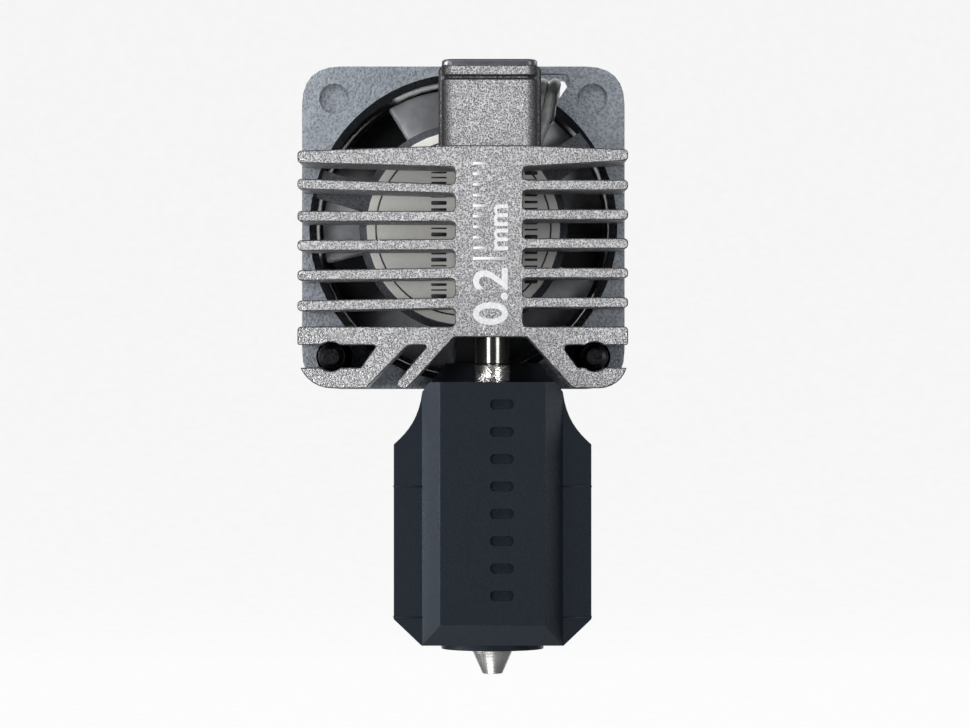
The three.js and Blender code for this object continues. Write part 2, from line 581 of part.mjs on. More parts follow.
addPiece(hotend, 'lead_connector', connectorHousing(), 'connector');
addPiece(hotend, 'connector_contact_a', connectorContact(1.6), 'plated');
addPiece(hotend, 'connector_contact_b', connectorContact(0.4), 'plated');

export default hotend;
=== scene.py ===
# %% [markdown]
# # A printer's hotend, seen from the front of its heatsink
# The parts arrive as plain CAD solids in metres, with the filament axis at X = 0 and the heatsink's
# front face at Y = 0. This lesson gives each of them the edges, textures and small parts of the real
# thing. Nothing is moved: a finished piece lies exactly where its solid lies.

# %% Load the frame
import math

import bmesh
import bpy
from mathutils import Matrix, Vector


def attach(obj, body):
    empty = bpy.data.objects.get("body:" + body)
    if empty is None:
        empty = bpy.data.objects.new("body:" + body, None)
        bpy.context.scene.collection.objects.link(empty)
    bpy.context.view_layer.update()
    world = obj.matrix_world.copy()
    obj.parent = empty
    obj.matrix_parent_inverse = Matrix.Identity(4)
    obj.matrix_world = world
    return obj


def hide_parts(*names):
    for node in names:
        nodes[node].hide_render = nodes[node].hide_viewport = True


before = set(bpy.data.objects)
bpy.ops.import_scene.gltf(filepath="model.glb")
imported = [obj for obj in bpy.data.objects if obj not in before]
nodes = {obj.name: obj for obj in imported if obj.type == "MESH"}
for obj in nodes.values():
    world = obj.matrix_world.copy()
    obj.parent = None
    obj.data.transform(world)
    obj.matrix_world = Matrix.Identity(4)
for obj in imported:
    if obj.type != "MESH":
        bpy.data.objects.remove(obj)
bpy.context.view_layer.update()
MM = 0.001

# %% [markdown]
# ## The camera
# The part is small and is looked at from well back through a long lens, so its sides hardly taper.
# The lens is worked out from the distance and from how wide a strip of the object fills the picture.

# %% Camera
VIEW_DISTANCE = 350 * MM
VIEW_CENTRE = Vector((-0.57, 0, -10.56)) * MM
VIEW_WIDTH = 73.3 * MM
SENSOR_WIDTH = 36

camera_data = bpy.data.cameras.new("camera")
camera_data.sensor_width = SENSOR_WIDTH
camera_data.lens = SENSOR_WIDTH * VIEW_DISTANCE / VIEW_WIDTH
camera_data.clip_start = 0.01
camera = bpy.data.objects.new("camera", camera_data)
camera.location = VIEW_CENTRE - Vector((0, VIEW_DISTANCE, 0))
camera.rotation_euler = (math.pi / 2, 0, 0)
bpy.context.collection.objects.link(camera)
bpy.context.scene.camera = camera
print("lens:", round(camera_data.lens, 1), "mm")

# %% [markdown]
# ## The fan's two wires
# A wire is a curve with a round bevel: it keeps one thickness however it bends. Each leaves a slot
# in the hub plate, climbs to the corner and hangs down behind the fan to its connector. The points
# are those of the CAD tubes.

# %% Lead curves
LEAD_DIAMETER = 0.9 * MM
LEAD_ROUTES = {
    "fan_lead_a": [
        (2.35, 9.85, 3.9), (2.9, 9.85, 5.2), (3.4, 9.85, 6.4), (3.85, 10.0, 7.7), (4.3, 10.25, 9.1),
        (4.6, 10.8, 10.4), (4.85, 12.0, 11.2), (4.95, 13.8, 11.4), (4.95, 15.8, 11.35), (4.95, 17.8, 11.25),
        (4.95, 19.4, 10.9), (4.9, 20.6, 9.9), (4.75, 21.1, 8.2), (4.5, 21.2, 5.5), (4.15, 21.2, 2.5),
        (3.75, 21.2, -1), (3.3, 21.15, -5), (2.85, 21.1, -9), (2.4, 21.05, -13), (2.0, 21.0, -17),
        (1.7, 21.0, -21), (1.6, 21.0, -25.1),
    ],
    "fan_lead_b": [
        (1.4, 9.85, 4.2), (1.95, 9.85, 5.5), (2.45, 9.9, 6.7), (3.0, 10.2, 7.8), (3.45, 10.4, 9.1),
        (3.8, 10.95, 10.3), (3.95, 12.1, 11.2), (4.0, 13.8, 11.4), (4.0, 15.8, 11.35), (4.0, 17.8, 11.25),
        (4.0, 19.4, 10.9), (3.9, 20.6, 9.9), (3.7, 21.1, 8.2), (3.4, 21.2, 5.5), (3.0, 21.2, 2.5),
        (2.55, 21.2, -1), (2.05, 21.15, -5), (1.55, 21.1, -9), (1.1, 21.05, -13), (0.7, 21.0, -17),
        (0.45, 21.0, -21), (0.4, 21.0, -25.1),
    ],
}


def lead_curve(name, route):
    """A wire along the route's points, in millimetres."""
    data = bpy.data.curves.new(name, "CURVE")
    data.dimensions = "3D"
    data.bevel_depth = LEAD_DIAMETER / 2
    data.bevel_resolution = 5
    data.resolution_u = 5
    data.use_fill_caps = True
    spline = data.splines.new("BEZIER")
    spline.bezier_points.add(len(route) - 1)
    for point, place in zip(spline.bezier_points, route):
        point.co = Vector(place) * MM
        point.handle_left_type = "AUTO"
        point.handle_right_type = "AUTO"
    wire = bpy.data.objects.new(name + "_wire", data)
    bpy.context.collection.objects.link(wire)
    return wire


def route_length(route):
    """The length of a route in metres, from point to point."""
    points = [Vector(place) * MM for place in route]
    return sum((b - a).length for a, b in zip(points, points[1:]))


leads = {name: lead_curve(name, route) for name, route in LEAD_ROUTES.items()}
for name, route in LEAD_ROUTES.items():
    print(name, round(route_length(route) / MM, 1), "mm long")

# %% [markdown]
# ## Helpers for node trees
# Materials and Geometry Nodes are both trees of nodes. One helper adds a node and links or fills its
# inputs. The others do the steps that come up again and again, which keeps the recipes short.

# %% Node helpers
def add(tree, kind, inputs=None, **settings):
    """Adds a node. An input given a socket or a node is linked, any other value is typed in."""
    node = tree.nodes.new(kind)
    for name, value in settings.items():
        setattr(node, name, value)
    for key, value in (inputs or {}).items():
        if isinstance(value, bpy.types.Node):
            value = value.outputs[0]
        if isinstance(value, bpy.types.NodeSocket):
            tree.links.new(value, node.inputs[key])
        else:
            node.inputs[key].default_value = value
    return node


def calc(tree, operation, first, second=0.0):
    """One step of arithmetic."""
    return add(tree, "ShaderNodeMath", {0: first, 1: second}, operation=operation).outputs[0]


def times(tree, first, second):
    """A product, the commonest step."""
    return calc(tree, "MULTIPLY", first, second)


def component(tree, vector, axis):
    """The X, Y or Z of a vector."""
    return add(tree, "ShaderNodeSeparateXYZ", {0: vector}).outputs[axis]


def remap(tree, value, low, high, start=0.0, stop=1.0):
    """Turns the range from start to stop into the one from low to high, and goes no further."""
    node = add(tree, "ShaderNodeMapRange", {
        "Value": value, "From Min": start, "From Max": stop, "To Min": low, "To Max": high,
    })
    return node.outputs["Result"]


def noise(tree, position, per_mm, detail):
    """Cloudy noise with the given number of clouds to a millimetre."""
    node = add(tree, "ShaderNodeTexNoise", {"Vector": position, "Scale": per_mm / MM, "Detail": detail})
    return node.outputs["Fac"]


def new_tree(name, kind, outputs, **inputs):
    """A node group. A number gives a socket its type and value, and a word gives the type alone."""
    tree = bpy.data.node_groups.new(name, kind)
    for in_out, sockets in (("INPUT", inputs), ("OUTPUT", outputs)):
        for label, value in sockets.items():
            kind_of_socket = value if isinstance(value, str) else type(value).__name__.capitalize()
            socket = tree.interface.new_socket(
                name=label.replace("_", " "), in_out=in_out, socket_type="NodeSocket" + kind_of_socket)
            if not isinstance(value, str):
                socket.default_value = value
    start = tree.nodes.new("NodeGroupInput").outputs
    end = tree.nodes.new("NodeGroupOutput").inputs
    return tree, start, end


# %% [markdown]
# ## Effects that several finishes share
# Four node groups hold what more than one material needs. Each puts out masks and normals only, so
# a material mixes them with its own values. The first is a grain, and one height drives both its mask
# and its bump, so the pits are dark where they are deep.

# %% Grain group
def make_grain():
    """A fine pitted skin: a mask for colour and a normal, at a grain size given in millimetres."""
    tree, start, end = new_tree(
        "grain", "ShaderNodeTree", {"Mask": "Float", "Normal": "Vector"},
        Position="Vector", Grain_mm=0.15, Depth=0.4, Softness=0.5)
    scale = calc(tree, "DIVIDE", 1 / MM, start["Grain mm"])
    fine = add(tree, "ShaderNodeTexNoise", {
        "Vector": start["Position"], "Scale": scale, "Detail": 2.0, "Roughness": start["Softness"],
    })
    coarse = add(tree, "ShaderNodeTexVoronoi", {
        "Vector": start["Position"], "Scale": times(tree, scale, 0.6), "Randomness": 1.0,
    })
    pits = times(tree, coarse.outputs["Distance"], 0.5)
    height = calc(tree, "ADD", fine.outputs["Fac"], pits)
    bump = add(tree, "ShaderNodeBump", {
        "Strength": start["Depth"], "Distance": 0.08 * MM, "Height": height,
    })
    tree.links.new(remap(tree, height, 0.0, 1.0, 0.52, 0.92), end["Mask"])
    tree.links.new(bump.outputs["Normal"], end["Normal"])
    return tree


GRAIN = make_grain()

# %% [markdown]
# Worn edges come from the shape's pointiness, dust lies on faces that look up, and turning marks are
# rings along Z. All three are broken up by noise, because nothing wears, settles or turns evenly.

# %% Wear, dust and turning groups
def make_edge_wear():
    """A mask that is 1 on convex edges, broken up so that no edge is worn evenly."""
    tree, start, end = new_tree(
        "edge wear", "ShaderNodeTree", {"Mask": "Float"}, Position="Vector", Amount=0.5)
    pointiness = add(tree, "ShaderNodeNewGeometry").outputs["Pointiness"]
    edge = remap(tree, pointiness, 0.0, 1.0, 0.52, 0.62)
    uneven = remap(tree, noise(tree, start["Position"], 0.9, 4.0), 0.0, 1.0, 0.4, 0.65)
    both = times(tree, edge, uneven)
    tree.links.new(times(tree, both, start["Amount"]), end["Mask"])
    return tree


def make_dust():
    """A mask of fine dust, thickest on faces that look up."""
    tree, start, end = new_tree(
        "dust", "ShaderNodeTree", {"Mask": "Float"}, Position="Vector", Amount=0.3)
    upward = component(tree, add(tree, "ShaderNodeNewGeometry").outputs["Normal"], "Z")
    settled = remap(tree, upward, 0.15, 1.0, 0.1, 1.0)
    clumps = remap(tree, noise(tree, start["Position"], 2.5, 5.0), 0.0, 1.0, 0.5, 0.75)
    both = times(tree, settled, clumps)
    tree.links.new(times(tree, both, start["Amount"]), end["Mask"])
    return tree


def make_turning():
    """Fine rings left by a lathe, along the axis that the position's Z gives."""
    tree, start, end = new_tree(
        "turning marks", "ShaderNodeTree", {"Mask": "Float", "Normal": "Vector"},
        Position="Vector", Pitch_mm=0.08, Depth=0.3)
    height = component(tree, start["Position"], "Z")
    drift = noise(tree, start["Position"], 0.8, 2.0)
    turns = calc(tree, "DIVIDE", calc(tree, "DIVIDE", height, MM), start["Pitch mm"])
    ridge = calc(tree, "SINE", times(tree, calc(tree, "ADD", turns, drift), math.tau))
    bump = add(tree, "ShaderNodeBump", {"Strength": start["Depth"], "Distance": 0.01 * MM, "Height": ridge})
    tree.links.new(drift, end["Mask"])
    tree.links.new(bump.outputs["Normal"], end["Normal"])
    return tree


EDGE_WEAR = make_edge_wear()
DUST = make_dust()
TURNING = make_turning()
print("shared effects:", [tree.name for tree in (GRAIN, EDGE_WEAR, DUST, TURNING)])

# %% [markdown]
# ## How a material is put together
# Every material starts with its constant sockets typed in and the object's own coordinates to hang
# textures on. Then it calls the effects it needs and mixes its colours through their masks.

# %% Material builder
def effect(tree, group, **values):
    """One shared effect, placed in a material with its own values."""
    inputs = {label.replace("_", " "): value for label, value in values.items()}
    return add(tree, "ShaderNodeGroup", inputs, node_tree=group).outputs


def mix_colour(tree, mask, base, over, **settings):
    """One colour over another where the mask is 1. A single number is a grey."""
    colours = [(value, value, value) if isinstance(value, float) else value for value in (base, over)]
    base, over = [(*colour, 1) if isinstance(colour, tuple) else colour for colour in colours]
    return add(tree, "ShaderNodeMix", {0: mask, 6: base, 7: over}, data_type="RGBA", **settings).outputs[2]


def start_material(name, **sockets):
    """A material with its Principled shader's constant sockets set, and the object's coordinates."""
    material = bpy.data.materials.new(name)
    material.use_nodes = True
    tree = material.node_tree
    shader = tree.nodes["Principled BSDF"]
    for label, value in sockets.items():
        shader.inputs[label.replace("_", " ")].default_value = value
    position = add(tree, "ShaderNodeTexCoord").outputs["Object"]
    return material, tree, shader, position


def connect(tree, shader, **sockets):
    """Links results to the shader's sockets of the same names."""
    for label, socket in sockets.items():
        tree.links.new(socket, shader.inputs[label.replace("_", " ")])


# %% [markdown]
# ## Cast and machined aluminium
# Die-cast aluminium that has been blasted with grit is a metal whose face points every way at once:
# the sparkle comes from a strong bump at the size of the grit, and not from a pale colour. The dark
# pits between the grains are a second colour in the same mask. The rounded edges between the front
# and the sides are painted darker, as painted shade where they turn away from the light.

# %% Cast aluminium
def cast_aluminium():
    """Grit-blasted casting: pits, slow clouds, bright rubbed edges and painted shade on round edges."""
    material, tree, shader, position = start_material("cast aluminium", Metallic=1.0)
    grain = effect(tree, GRAIN, Position=position, Grain_mm=0.08, Depth=2.0, Softness=0.6)
    wear = effect(tree, EDGE_WEAR, Position=position, Amount=0.35)
    pitted = mix_colour(tree, grain["Mask"], (0.08, 0.079, 0.082), (0.76, 0.755, 0.765))
    clouds = remap(tree, noise(tree, position, 0.25, 2.0), 0.0, 0.25)
    clouded = mix_colour(tree, clouds, pitted, (0.22, 0.218, 0.23))
    blasted = mix_colour(tree, wear["Mask"], clouded, (0.6, 0.6, 0.62))
    # Painted shade: faces that turn from the front towards the sides are darkened into a dark outline.
    normal = add(tree, "ShaderNodeTexCoord").outputs["Normal"]
    turned = calc(tree, "ABSOLUTE", component(tree, normal, "Y"))
    between = times(tree, turned, calc(tree, "SUBTRACT", 1.0, turned))
    rounded = calc(tree, "POWER", times(tree, between, 4.0), 0.35)
    painted_edge_shade = times(tree, rounded, 0.97)
    colour = mix_colour(tree, painted_edge_shade, blasted, (0.035, 0.034, 0.038))
    rough = remap(tree, grain["Mask"], 0.62, 0.42)
    connect(tree, shader, Base_Color=colour, Roughness=rough, Normal=grain["Normal"])
    return material


def machined_aluminium():
    """The smooth lip at the top of the column, faced after the casting was blasted, in a dark tone that is
    painted shade.
    """
    material, tree, shader, position = start_material("machined aluminium", Metallic=1.0)
    marks = effect(tree, TURNING, Position=position, Pitch_mm=0.09, Depth=0.2)
    # Painted shade: the dark metal tones stand in for a lip that faces up, away from the light.
    colour = mix_colour(tree, marks["Mask"], (0.15, 0.143, 0.165), (0.24, 0.23, 0.265))
    rough = remap(tree, marks["Mask"], 0.3, 0.42)
    connect(tree, shader, Base_Color=colour, Roughness=rough, Normal=marks["Normal"])
    return material


CAST = cast_aluminium()
LIP = machined_aluminium()

# %% [markdown]
# ## The other metals
# The tube, the nozzle and the shaft come from a lathe, so they carry fine rings. Plated, blackened
# and sintered parts have a fine pitted skin instead.

# %% Turned and plated metals
def turned_metal(name, dark, light, roughness, pitch, depth):
    """A metal from the lathe: two close tones, fine rings and a little dust."""
    material, tree, shader, position = start_material(name, Metallic=1.0)
    marks = effect(tree, TURNING, Position=position, Pitch_mm=pitch, Depth=depth)
    dust = effect(tree, DUST, Position=position, Amount=0.15)
    metal = mix_colour(tree, marks["Mask"], dark, light)
    colour = mix_colour(tree, dust["Mask"], metal, (0.5, 0.48, 0.45))
    rough = remap(tree, marks["Mask"], roughness * 0.8, roughness * 1.3)
    connect(tree, shader, Base_Color=colour, Roughness=rough, Normal=marks["Normal"])
    return material


def grained_metal(name, dark, light, grain_mm, depth, roughness):
    """A metal with a fine pitted skin, such as plating over a blasted part."""
    material, tree, shader, position = start_material(name, Metallic=1.0)
    grain = effect(tree, GRAIN, Position=position, Grain_mm=grain_mm, Depth=depth, Softness=0.5)
    wear = effect(tree, EDGE_WEAR, Position=position, Amount=0.5)
    skin = mix_colour(tree, grain["Mask"], dark, light)
    colour = mix_colour(tree, wear["Mask"], skin, light)
    rough = remap(tree, grain["Mask"], roughness * 1.2, roughness * 0.8)
    connect(tree, shader, Base_Color=colour, Roughness=rough, Normal=grain["Normal"])
    return material


STEEL = turned_metal("turned steel", (0.55, 0.54, 0.51), (0.85, 0.84, 0.8), 0.3, 0.11, 0.3)
POLISHED = turned_metal("polished steel", (0.1, 0.098, 0.092), (0.18, 0.176, 0.165), 0.17, 0.3, 0.02)
PLATED = grained_metal("plated metal", (0.46, 0.445, 0.42), (0.68, 0.66, 0.63), 0.12, 0.3, 0.26)
DARK_METAL = grained_metal("dark plated block", (0.07, 0.066, 0.06), (0.17, 0.16, 0.15), 0.2, 0.4, 0.42)
BLACK_STEEL = grained_metal(
    "black oxide steel", (0.006, 0.006, 0.008), (0.03, 0.03, 0.034), 0.12, 0.3, 0.45)
SPRING_STEEL = grained_metal("spring steel", (0.35, 0.34, 0.33), (0.6, 0.59, 0.57), 0.3, 0.15, 0.3)
BRONZE = grained_metal("sintered bronze", (0.18, 0.11, 0.05), (0.45, 0.3, 0.14), 0.1, 0.6, 0.5)
COPPER = turned_metal("enamelled copper", (0.4, 0.14, 0.05), (0.62, 0.25, 0.1), 0.25, 0.3, 0.1)

# %% [markdown]
# ## Plastics, silicone and ceramic
# One recipe makes every moulded skin, from the coarse frame to the smooth silicone. The blades need
# one of their own, with painted light on the part of each blade nearest the front.

# %% Moulded skins
def moulded(name, dark, light, grain_mm, depth, roughness, dust_amount=0.2, **sockets):
    """A moulded skin: a fine grain, a slow drift in tone, a little edge wear and dust."""
    material, tree, shader, position = start_material(name, **sockets)
    grain = effect(tree, GRAIN, Position=position, Grain_mm=grain_mm, Depth=depth, Softness=0.5)
    wear = effect(tree, EDGE_WEAR, Position=position, Amount=0.25)
    dust = effect(tree, DUST, Position=position, Amount=dust_amount)
    skin = mix_colour(tree, grain["Mask"], dark, light)
    tone = remap(tree, noise(tree, position, 0.18, 3.0), 0.0, 0.35)
    drift = mix_colour(tree, tone, skin, dark)
    rubbed = mix_colour(tree, wear["Mask"], drift, light)
    colour = mix_colour(tree, dust["Mask"], rubbed, (0.45, 0.44, 0.42))
    rough = remap(tree, grain["Mask"], roughness * 1.15, roughness * 0.85)
    connect(tree, shader, Base_Color=colour, Roughness=rough, Normal=grain["Normal"])
    return material


# Depths between which the blades' painted light fades out.
PAINTED_LIGHT_FRONT, PAINTED_LIGHT_BACK = 12.4 * MM, 15.8 * MM


def blade_plastic():
    """A glossy black moulding with painted light near the front of each blade, fading out deeper in."""
    material, tree, shader, position = start_material("glossy blade plastic", IOR=1.6)
    grain = effect(tree, GRAIN, Position=position, Grain_mm=0.9, Depth=0.02, Softness=0.5)
    leading = add(tree, "ShaderNodeMapRange", {
        "Value": component(tree, position, "Y"), "From Min": PAINTED_LIGHT_FRONT, "From Max": PAINTED_LIGHT_BACK,
        "To Min": 1.0, "To Max": 0.0,
    }, interpolation_type="SMOOTHSTEP")
    # Painted light: this mask is pale near the front and fades to the black plastic deeper in the duct.
    film = times(tree, leading.outputs["Result"], remap(tree, grain["Mask"], 0.75, 1.0))
    colour = mix_colour(tree, film, (0.01, 0.011, 0.013), (0.78, 0.8, 0.84))
    connect(tree, shader, Base_Color=colour, Roughness=remap(tree, film, 0.22, 0.4), Normal=grain["Normal"])
    return material


BLADE_PLASTIC = blade_plastic()
FRAME_PLASTIC = moulded(
    "fan frame plastic", (0.15, 0.167, 0.192), (0.33, 0.36, 0.4), 0.15, 0.9, 0.4)
HUB_PLASTIC = moulded(
    "glossy hub plastic", (0.008, 0.009, 0.011), (0.016, 0.018, 0.021), 0.3, 0.04, 0.25, dust_amount=0.04)
# Painted shade: a near-black colour for the duct's inner wall, which lies in shade.
SHADED_DUCT_PLASTIC = moulded(
    "duct wall painted shade", (0.012, 0.0135, 0.016), (0.03, 0.033, 0.038), 0.3, 0.08, 0.3, dust_amount=0.05)
# Painted shade: the hub plate and struts are painted darker than the frame, as they lie in shade.
SHADED_SPIDER_PLASTIC = moulded(
    "hub and strut painted shade", (0.03, 0.034, 0.04), (0.1, 0.11, 0.125), 0.12, 0.3, 0.45, dust_amount=0.1)
SILICONE = moulded(
    "black silicone", (0.005, 0.007, 0.0105), (0.007, 0.0095, 0.0135), 0.12, 0.06, 0.45,
    dust_amount=0.01, IOR=1.4, Specular_Tint=(0.72, 0.85, 1.0, 1))
CERAMIC = moulded("heater ceramic", (0.6, 0.59, 0.56), (0.85, 0.84, 0.8), 0.12, 0.3, 0.6)
BOARD = moulded("circuit board", (0.01, 0.05, 0.02), (0.03, 0.12, 0.05), 0.4, 0.1, 0.35)
NYLON = moulded(
    "connector nylon", (0.7, 0.68, 0.62), (0.78, 0.76, 0.71), 0.1, 0.05, 0.4, dust_amount=0.08)
INSULATION = moulded("wire insulation", (0.2, 0.21, 0.2), (0.34, 0.35, 0.34), 0.5, 0.08, 0.4)
MAGNET = moulded("ferrite magnet", (0.02, 0.018, 0.016), (0.06, 0.055, 0.05), 0.15, 0.4, 0.6)
INK = moulded("printing ink", (0.02, 0.02, 0.022), (0.05, 0.05, 0.055), 0.1, 0.1, 0.5)
PRINT = moulded("pale print", (0.64, 0.64, 0.65), (0.82, 0.82, 0.83), 0.12, 0.3, 0.5)
LABEL_FILM = moulded(
    "label film", (0.94, 0.925, 0.87), (0.97, 0.96, 0.915), 0.6, 0.05, 0.3, dust_amount=0.02)
print(len(bpy.data.materials), "materials")

# %% [markdown]
# ## Turning a node tree into a plain mesh
# A Geometry Nodes modifier is live: it would be lost if the scene were exported. So each tree is run
# once, its result is copied into a mesh of its own, and the modifier is taken away. Inputs are set
# through their identifiers, because a name can change while an identifier can't.

# %% Mesh helpers
WELD_DISTANCE = 0.002 * MM
SAME_PLANE = math.radians(1)


def empty_piece(name):
    """A piece with no mesh in it yet."""
    piece = bpy.data.objects.new(name, bpy.data.meshes.new(name))
    bpy.context.collection.objects.link(piece)
    return piece


def bake(piece):
    """Replaces a piece's mesh by what its modifiers make of it, and removes them."""
    evaluated = piece.evaluated_get(bpy.context.evaluated_depsgraph_get())
    mesh = bpy.data.meshes.new_from_object(evaluated)
    piece.modifiers.clear()
    piece.data = mesh
    return piece


def wear_material(piece, material):
    """One material on the whole piece."""
    piece.data.materials.clear()
    piece.data.materials.append(material)
    piece.data.polygons.foreach_set("material_index", [0] * len(piece.data.polygons))
    return piece


def grow(piece, tree, **values):
    """Runs a Geometry Nodes tree on the piece with its inputs set by identifier."""
    modifier = piece.modifiers.new(tree.name, "NODES")
    modifier.node_group = tree
    for item in tree.interface.items_tree:
        key = item.name.replace(" ", "_")
        if item.in_out == "INPUT" and key in values:
            modifier[item.identifier] = values[key]
    return wear_material(bake(piece), values["Material"])


def welded(data):
    """An editable copy of a mesh, with its doubled points merged."""
    mesh = bmesh.new()
    mesh.from_mesh(data)
    bmesh.ops.remove_doubles(mesh, verts=mesh.verts, dist=WELD_DISTANCE)
    return mesh


def tidy(piece):
    """Merges doubled points and turns the faces outwards."""
    mesh = welded(piece.data)
    bmesh.ops.recalc_face_normals(mesh, faces=mesh.faces)
    mesh.to_mesh(piece.data)
    piece.data.shade_smooth()
    return piece


def weigh_normals(piece, keep_sharp):
    """Lets the large faces decide the shading, so that they stay flat, and bakes the piece."""
    shading = piece.modifiers.new("shading", "WEIGHTED_NORMAL")
    shading.weight = 100
    shading.keep_sharp = keep_sharp
    return bake(piece)


def bevel(piece, width, segments=2, angle=35):
    """Rounds every edge sharper than the angle."""
    piece.data.shade_smooth()
    modifier = piece.modifiers.new("bevel", "BEVEL")
    modifier.width = width
    modifier.segments = segments
    modifier.limit_method = "ANGLE"
    modifier.angle_limit = math.radians(angle)
    return weigh_normals(piece, False)


def shade(piece, angle=38):
    """Keeps edges above the angle sharp, and shades the rest smoothly."""
    piece.data.shade_smooth()
    piece.data.set_sharp_from_angle(angle=math.radians(angle))
    return weigh_normals(piece, True)


def finished_copy(node, name, material, width, segments=2, angle=35):
    """A CAD node's shape as a clean mesh with rounded edges."""
    piece = empty_piece(name)
    mesh = welded(nodes[node].data)
    bmesh.ops.dissolve_limit(mesh, angle_limit=SAME_PLANE, verts=mesh.verts, edges=mesh.edges)
    mesh.to_mesh(piece.data)
    return wear_material(bevel(piece, width, segments, angle), material)


def settle(piece, body, node):
    """The piece moves with the body, and stands in for the CAD node, which is hidden."""
    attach(piece, body)
    if node:
        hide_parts(node)
    print(piece.name, "->", body, len(piece.data.polygons), "faces")


# %% [markdown]
# ## Steps that several geometry trees share
# Every tree ends alike: its instances are made real and painted. Slabs, ribs and blades also begin
# alike, as an open sheet that is pushed off itself and sealed into a solid.

# %% Geometry tree helpers
UPRIGHT = (math.pi / 2, 0, 0)


def geometry_tree(name, **inputs):
    """A tree with the given inputs between its geometry and its material."""
    geometry = {"Geometry": "Geometry"}
    return new_tree(name, "GeometryNodeTree", geometry, **geometry, **inputs, Material="Material")


def finish_tree(tree, result, start, end):
    """Makes the instances real, paints them and sends them out."""
    real = add(tree, "GeometryNodeRealizeInstances", {"Geometry": result})
    painted = add(tree, "GeometryNodeSetMaterial", {"Geometry": real, "Material": start["Material"]})
    tree.links.new(painted.outputs[0], end["Geometry"])
    return tree


def sealed(tree, sheet, push):
    """Pushes a sheet off itself, and closes the hole it leaves."""
    walls = add(tree, "GeometryNodeExtrudeMesh", {"Mesh": sheet, "Individual": False, **push}, mode="FACES")
    lid = add(tree, "GeometryNodeFlipFaces", {"Mesh": sheet})
    solid = add(tree, "GeometryNodeJoinGeometry")
    for part in (walls, lid):
        tree.links.new(part.outputs[0], solid.inputs[0])
    return add(tree, "GeometryNodeMergeByDistance", {"Geometry": solid, "Distance": WELD_DISTANCE / 2})


def slab(tree, outline, radius, points, depth):
    """A closed curve with rounded corners, filled, given a depth and stood up to face the front."""
    rounded = add(tree, "GeometryNodeFilletCurve", {
        "Curve": outline, "Radius": radius, "Limit Radius": True, "Count": points,
    }, mode="POLY")
    face = add(tree, "GeometryNodeFillCurve", {"Curve": rounded}, mode="NGONS")
    back = add(tree, "ShaderNodeCombineXYZ", {"Z": times(tree, depth, -1.0)})
    solid = sealed(tree, face, {"Offset": back, "Offset Scale": 1.0})
    return add(tree, "GeometryNodeTransform", {"Geometry": solid, "Rotation": UPRIGHT})


def blend(tree, share, first, last):
    """The number that lies at this share of the way from the first to the last."""
    return add(tree, "ShaderNodeMix", {0: share, 2: first, 3: last})


def wire_along(tree, path, radius, sides):
    """A round wire along a curve, smooth and closed at its ends."""
    section = add(tree, "GeometryNodeCurvePrimitiveCircle", {"Resolution": sides, "Radius": radius})
    wire = add(tree, "GeometryNodeCurveToMesh", {"Curve": path, "Profile Curve": section, "Fill Caps": True})
    return add(tree, "GeometryNodeSetShadeSmooth", {"Geometry": wire})


# %% [markdown]
# ## The heatsink's front plate
# The web, the fins, the bar and the two feet are one casting, and they share one outline. A Geometry
# Nodes tree rounds the outline's corners, fills it and pushes it back: one surface, with no seams
# between the fins. Each corner carries its own radius as an attribute.

# %% Cast plate tree
def make_cast_plate():
    """Gives an outline drawn in X and Y its round corners, and a depth along Y behind the front."""
    tree, start, end = geometry_tree("cast plate", Depth=9 * MM, Arc_points=4)
    curve = add(tree, "GeometryNodeMeshToCurve", {"Mesh": start["Geometry"]})
    radius = add(tree, "GeometryNodeInputNamedAttribute", {"Name": "radius_mm"}, data_type="FLOAT")
    metres = times(tree, radius.outputs["Attribute"], MM)
    plate = slab(tree, curve, metres, start["Arc points"], start["Depth"])
    return finish_tree(tree, plate, start, end)


def outline_piece(name, corners):
    """A closed loop of edges in X and Y from corners (x, z, radius), all in millimetres."""
    piece = empty_piece(name)
    count = len(corners)
    places = [(x * MM, z * MM, 0) for x, z, _ in corners]
    piece.data.from_pydata(places, [(i, (i + 1) % count) for i in range(count)], [])
    radii = piece.data.attributes.new("radius_mm", "FLOAT", "POINT")
    radii.data.foreach_set("value", [radius for _, _, radius in corners])
    return piece


# %% [markdown]
# The outline is written by a rule, fin after fin. No two fins of a real casting are quite alike, so
# each has its own height and thickness. Round clearances for the fan's screws break into the slots.

# %% Outline of the plate
FAN_X = -2.25
FAN_CORNER = 10.0
SINK_LEFT, SINK_RIGHT = FAN_X - 12.5, FAN_X + 12.5
SINK_BOTTOM = -12.4
SINK_DEPTH = 9.0
WEB_LEFT, WEB_RIGHT = -2.84, 2.3
FIN_ROUND = 0.3
# Height of the middle at the web and at the tip, then the thickness at the web and at the tip.
LEFT_FINS = [
    (5.15, 5.1, 1.64, 0.92), (2.68, 3.06, 0.7, 0.8), (0.61, 0.61, 0.8, 0.8),
    (-1.53, -1.6, 0.84, 0.8), (-3.68, -3.87, 0.84, 0.8), (-5.94, -6.17, 0.84, 0.8),
]
RIGHT_FINS = [(5.15, 5.24, 1.6, 0.85)]
RIGHT_FINS += [(z, z, 0.78, 0.78) for z in (2.97, 0.74, -1.45, -3.68, -5.91)]


def fin_corners(fins, web_x, tip_x):
    """Down one side of the web: out along the top of each fin and back along its underside."""
    corners = []
    for number, (root, tip, root_thick, tip_thick) in enumerate(fins):
        if number > 0:
            corners.append((web_x, root + root_thick / 2, FIN_ROUND))
        corners.append((tip_x, tip + tip_thick / 2, FIN_ROUND))
        corners.append((tip_x, tip - tip_thick / 2, FIN_ROUND))
        corners.append((web_x, root - root_thick / 2, FIN_ROUND))
    return corners


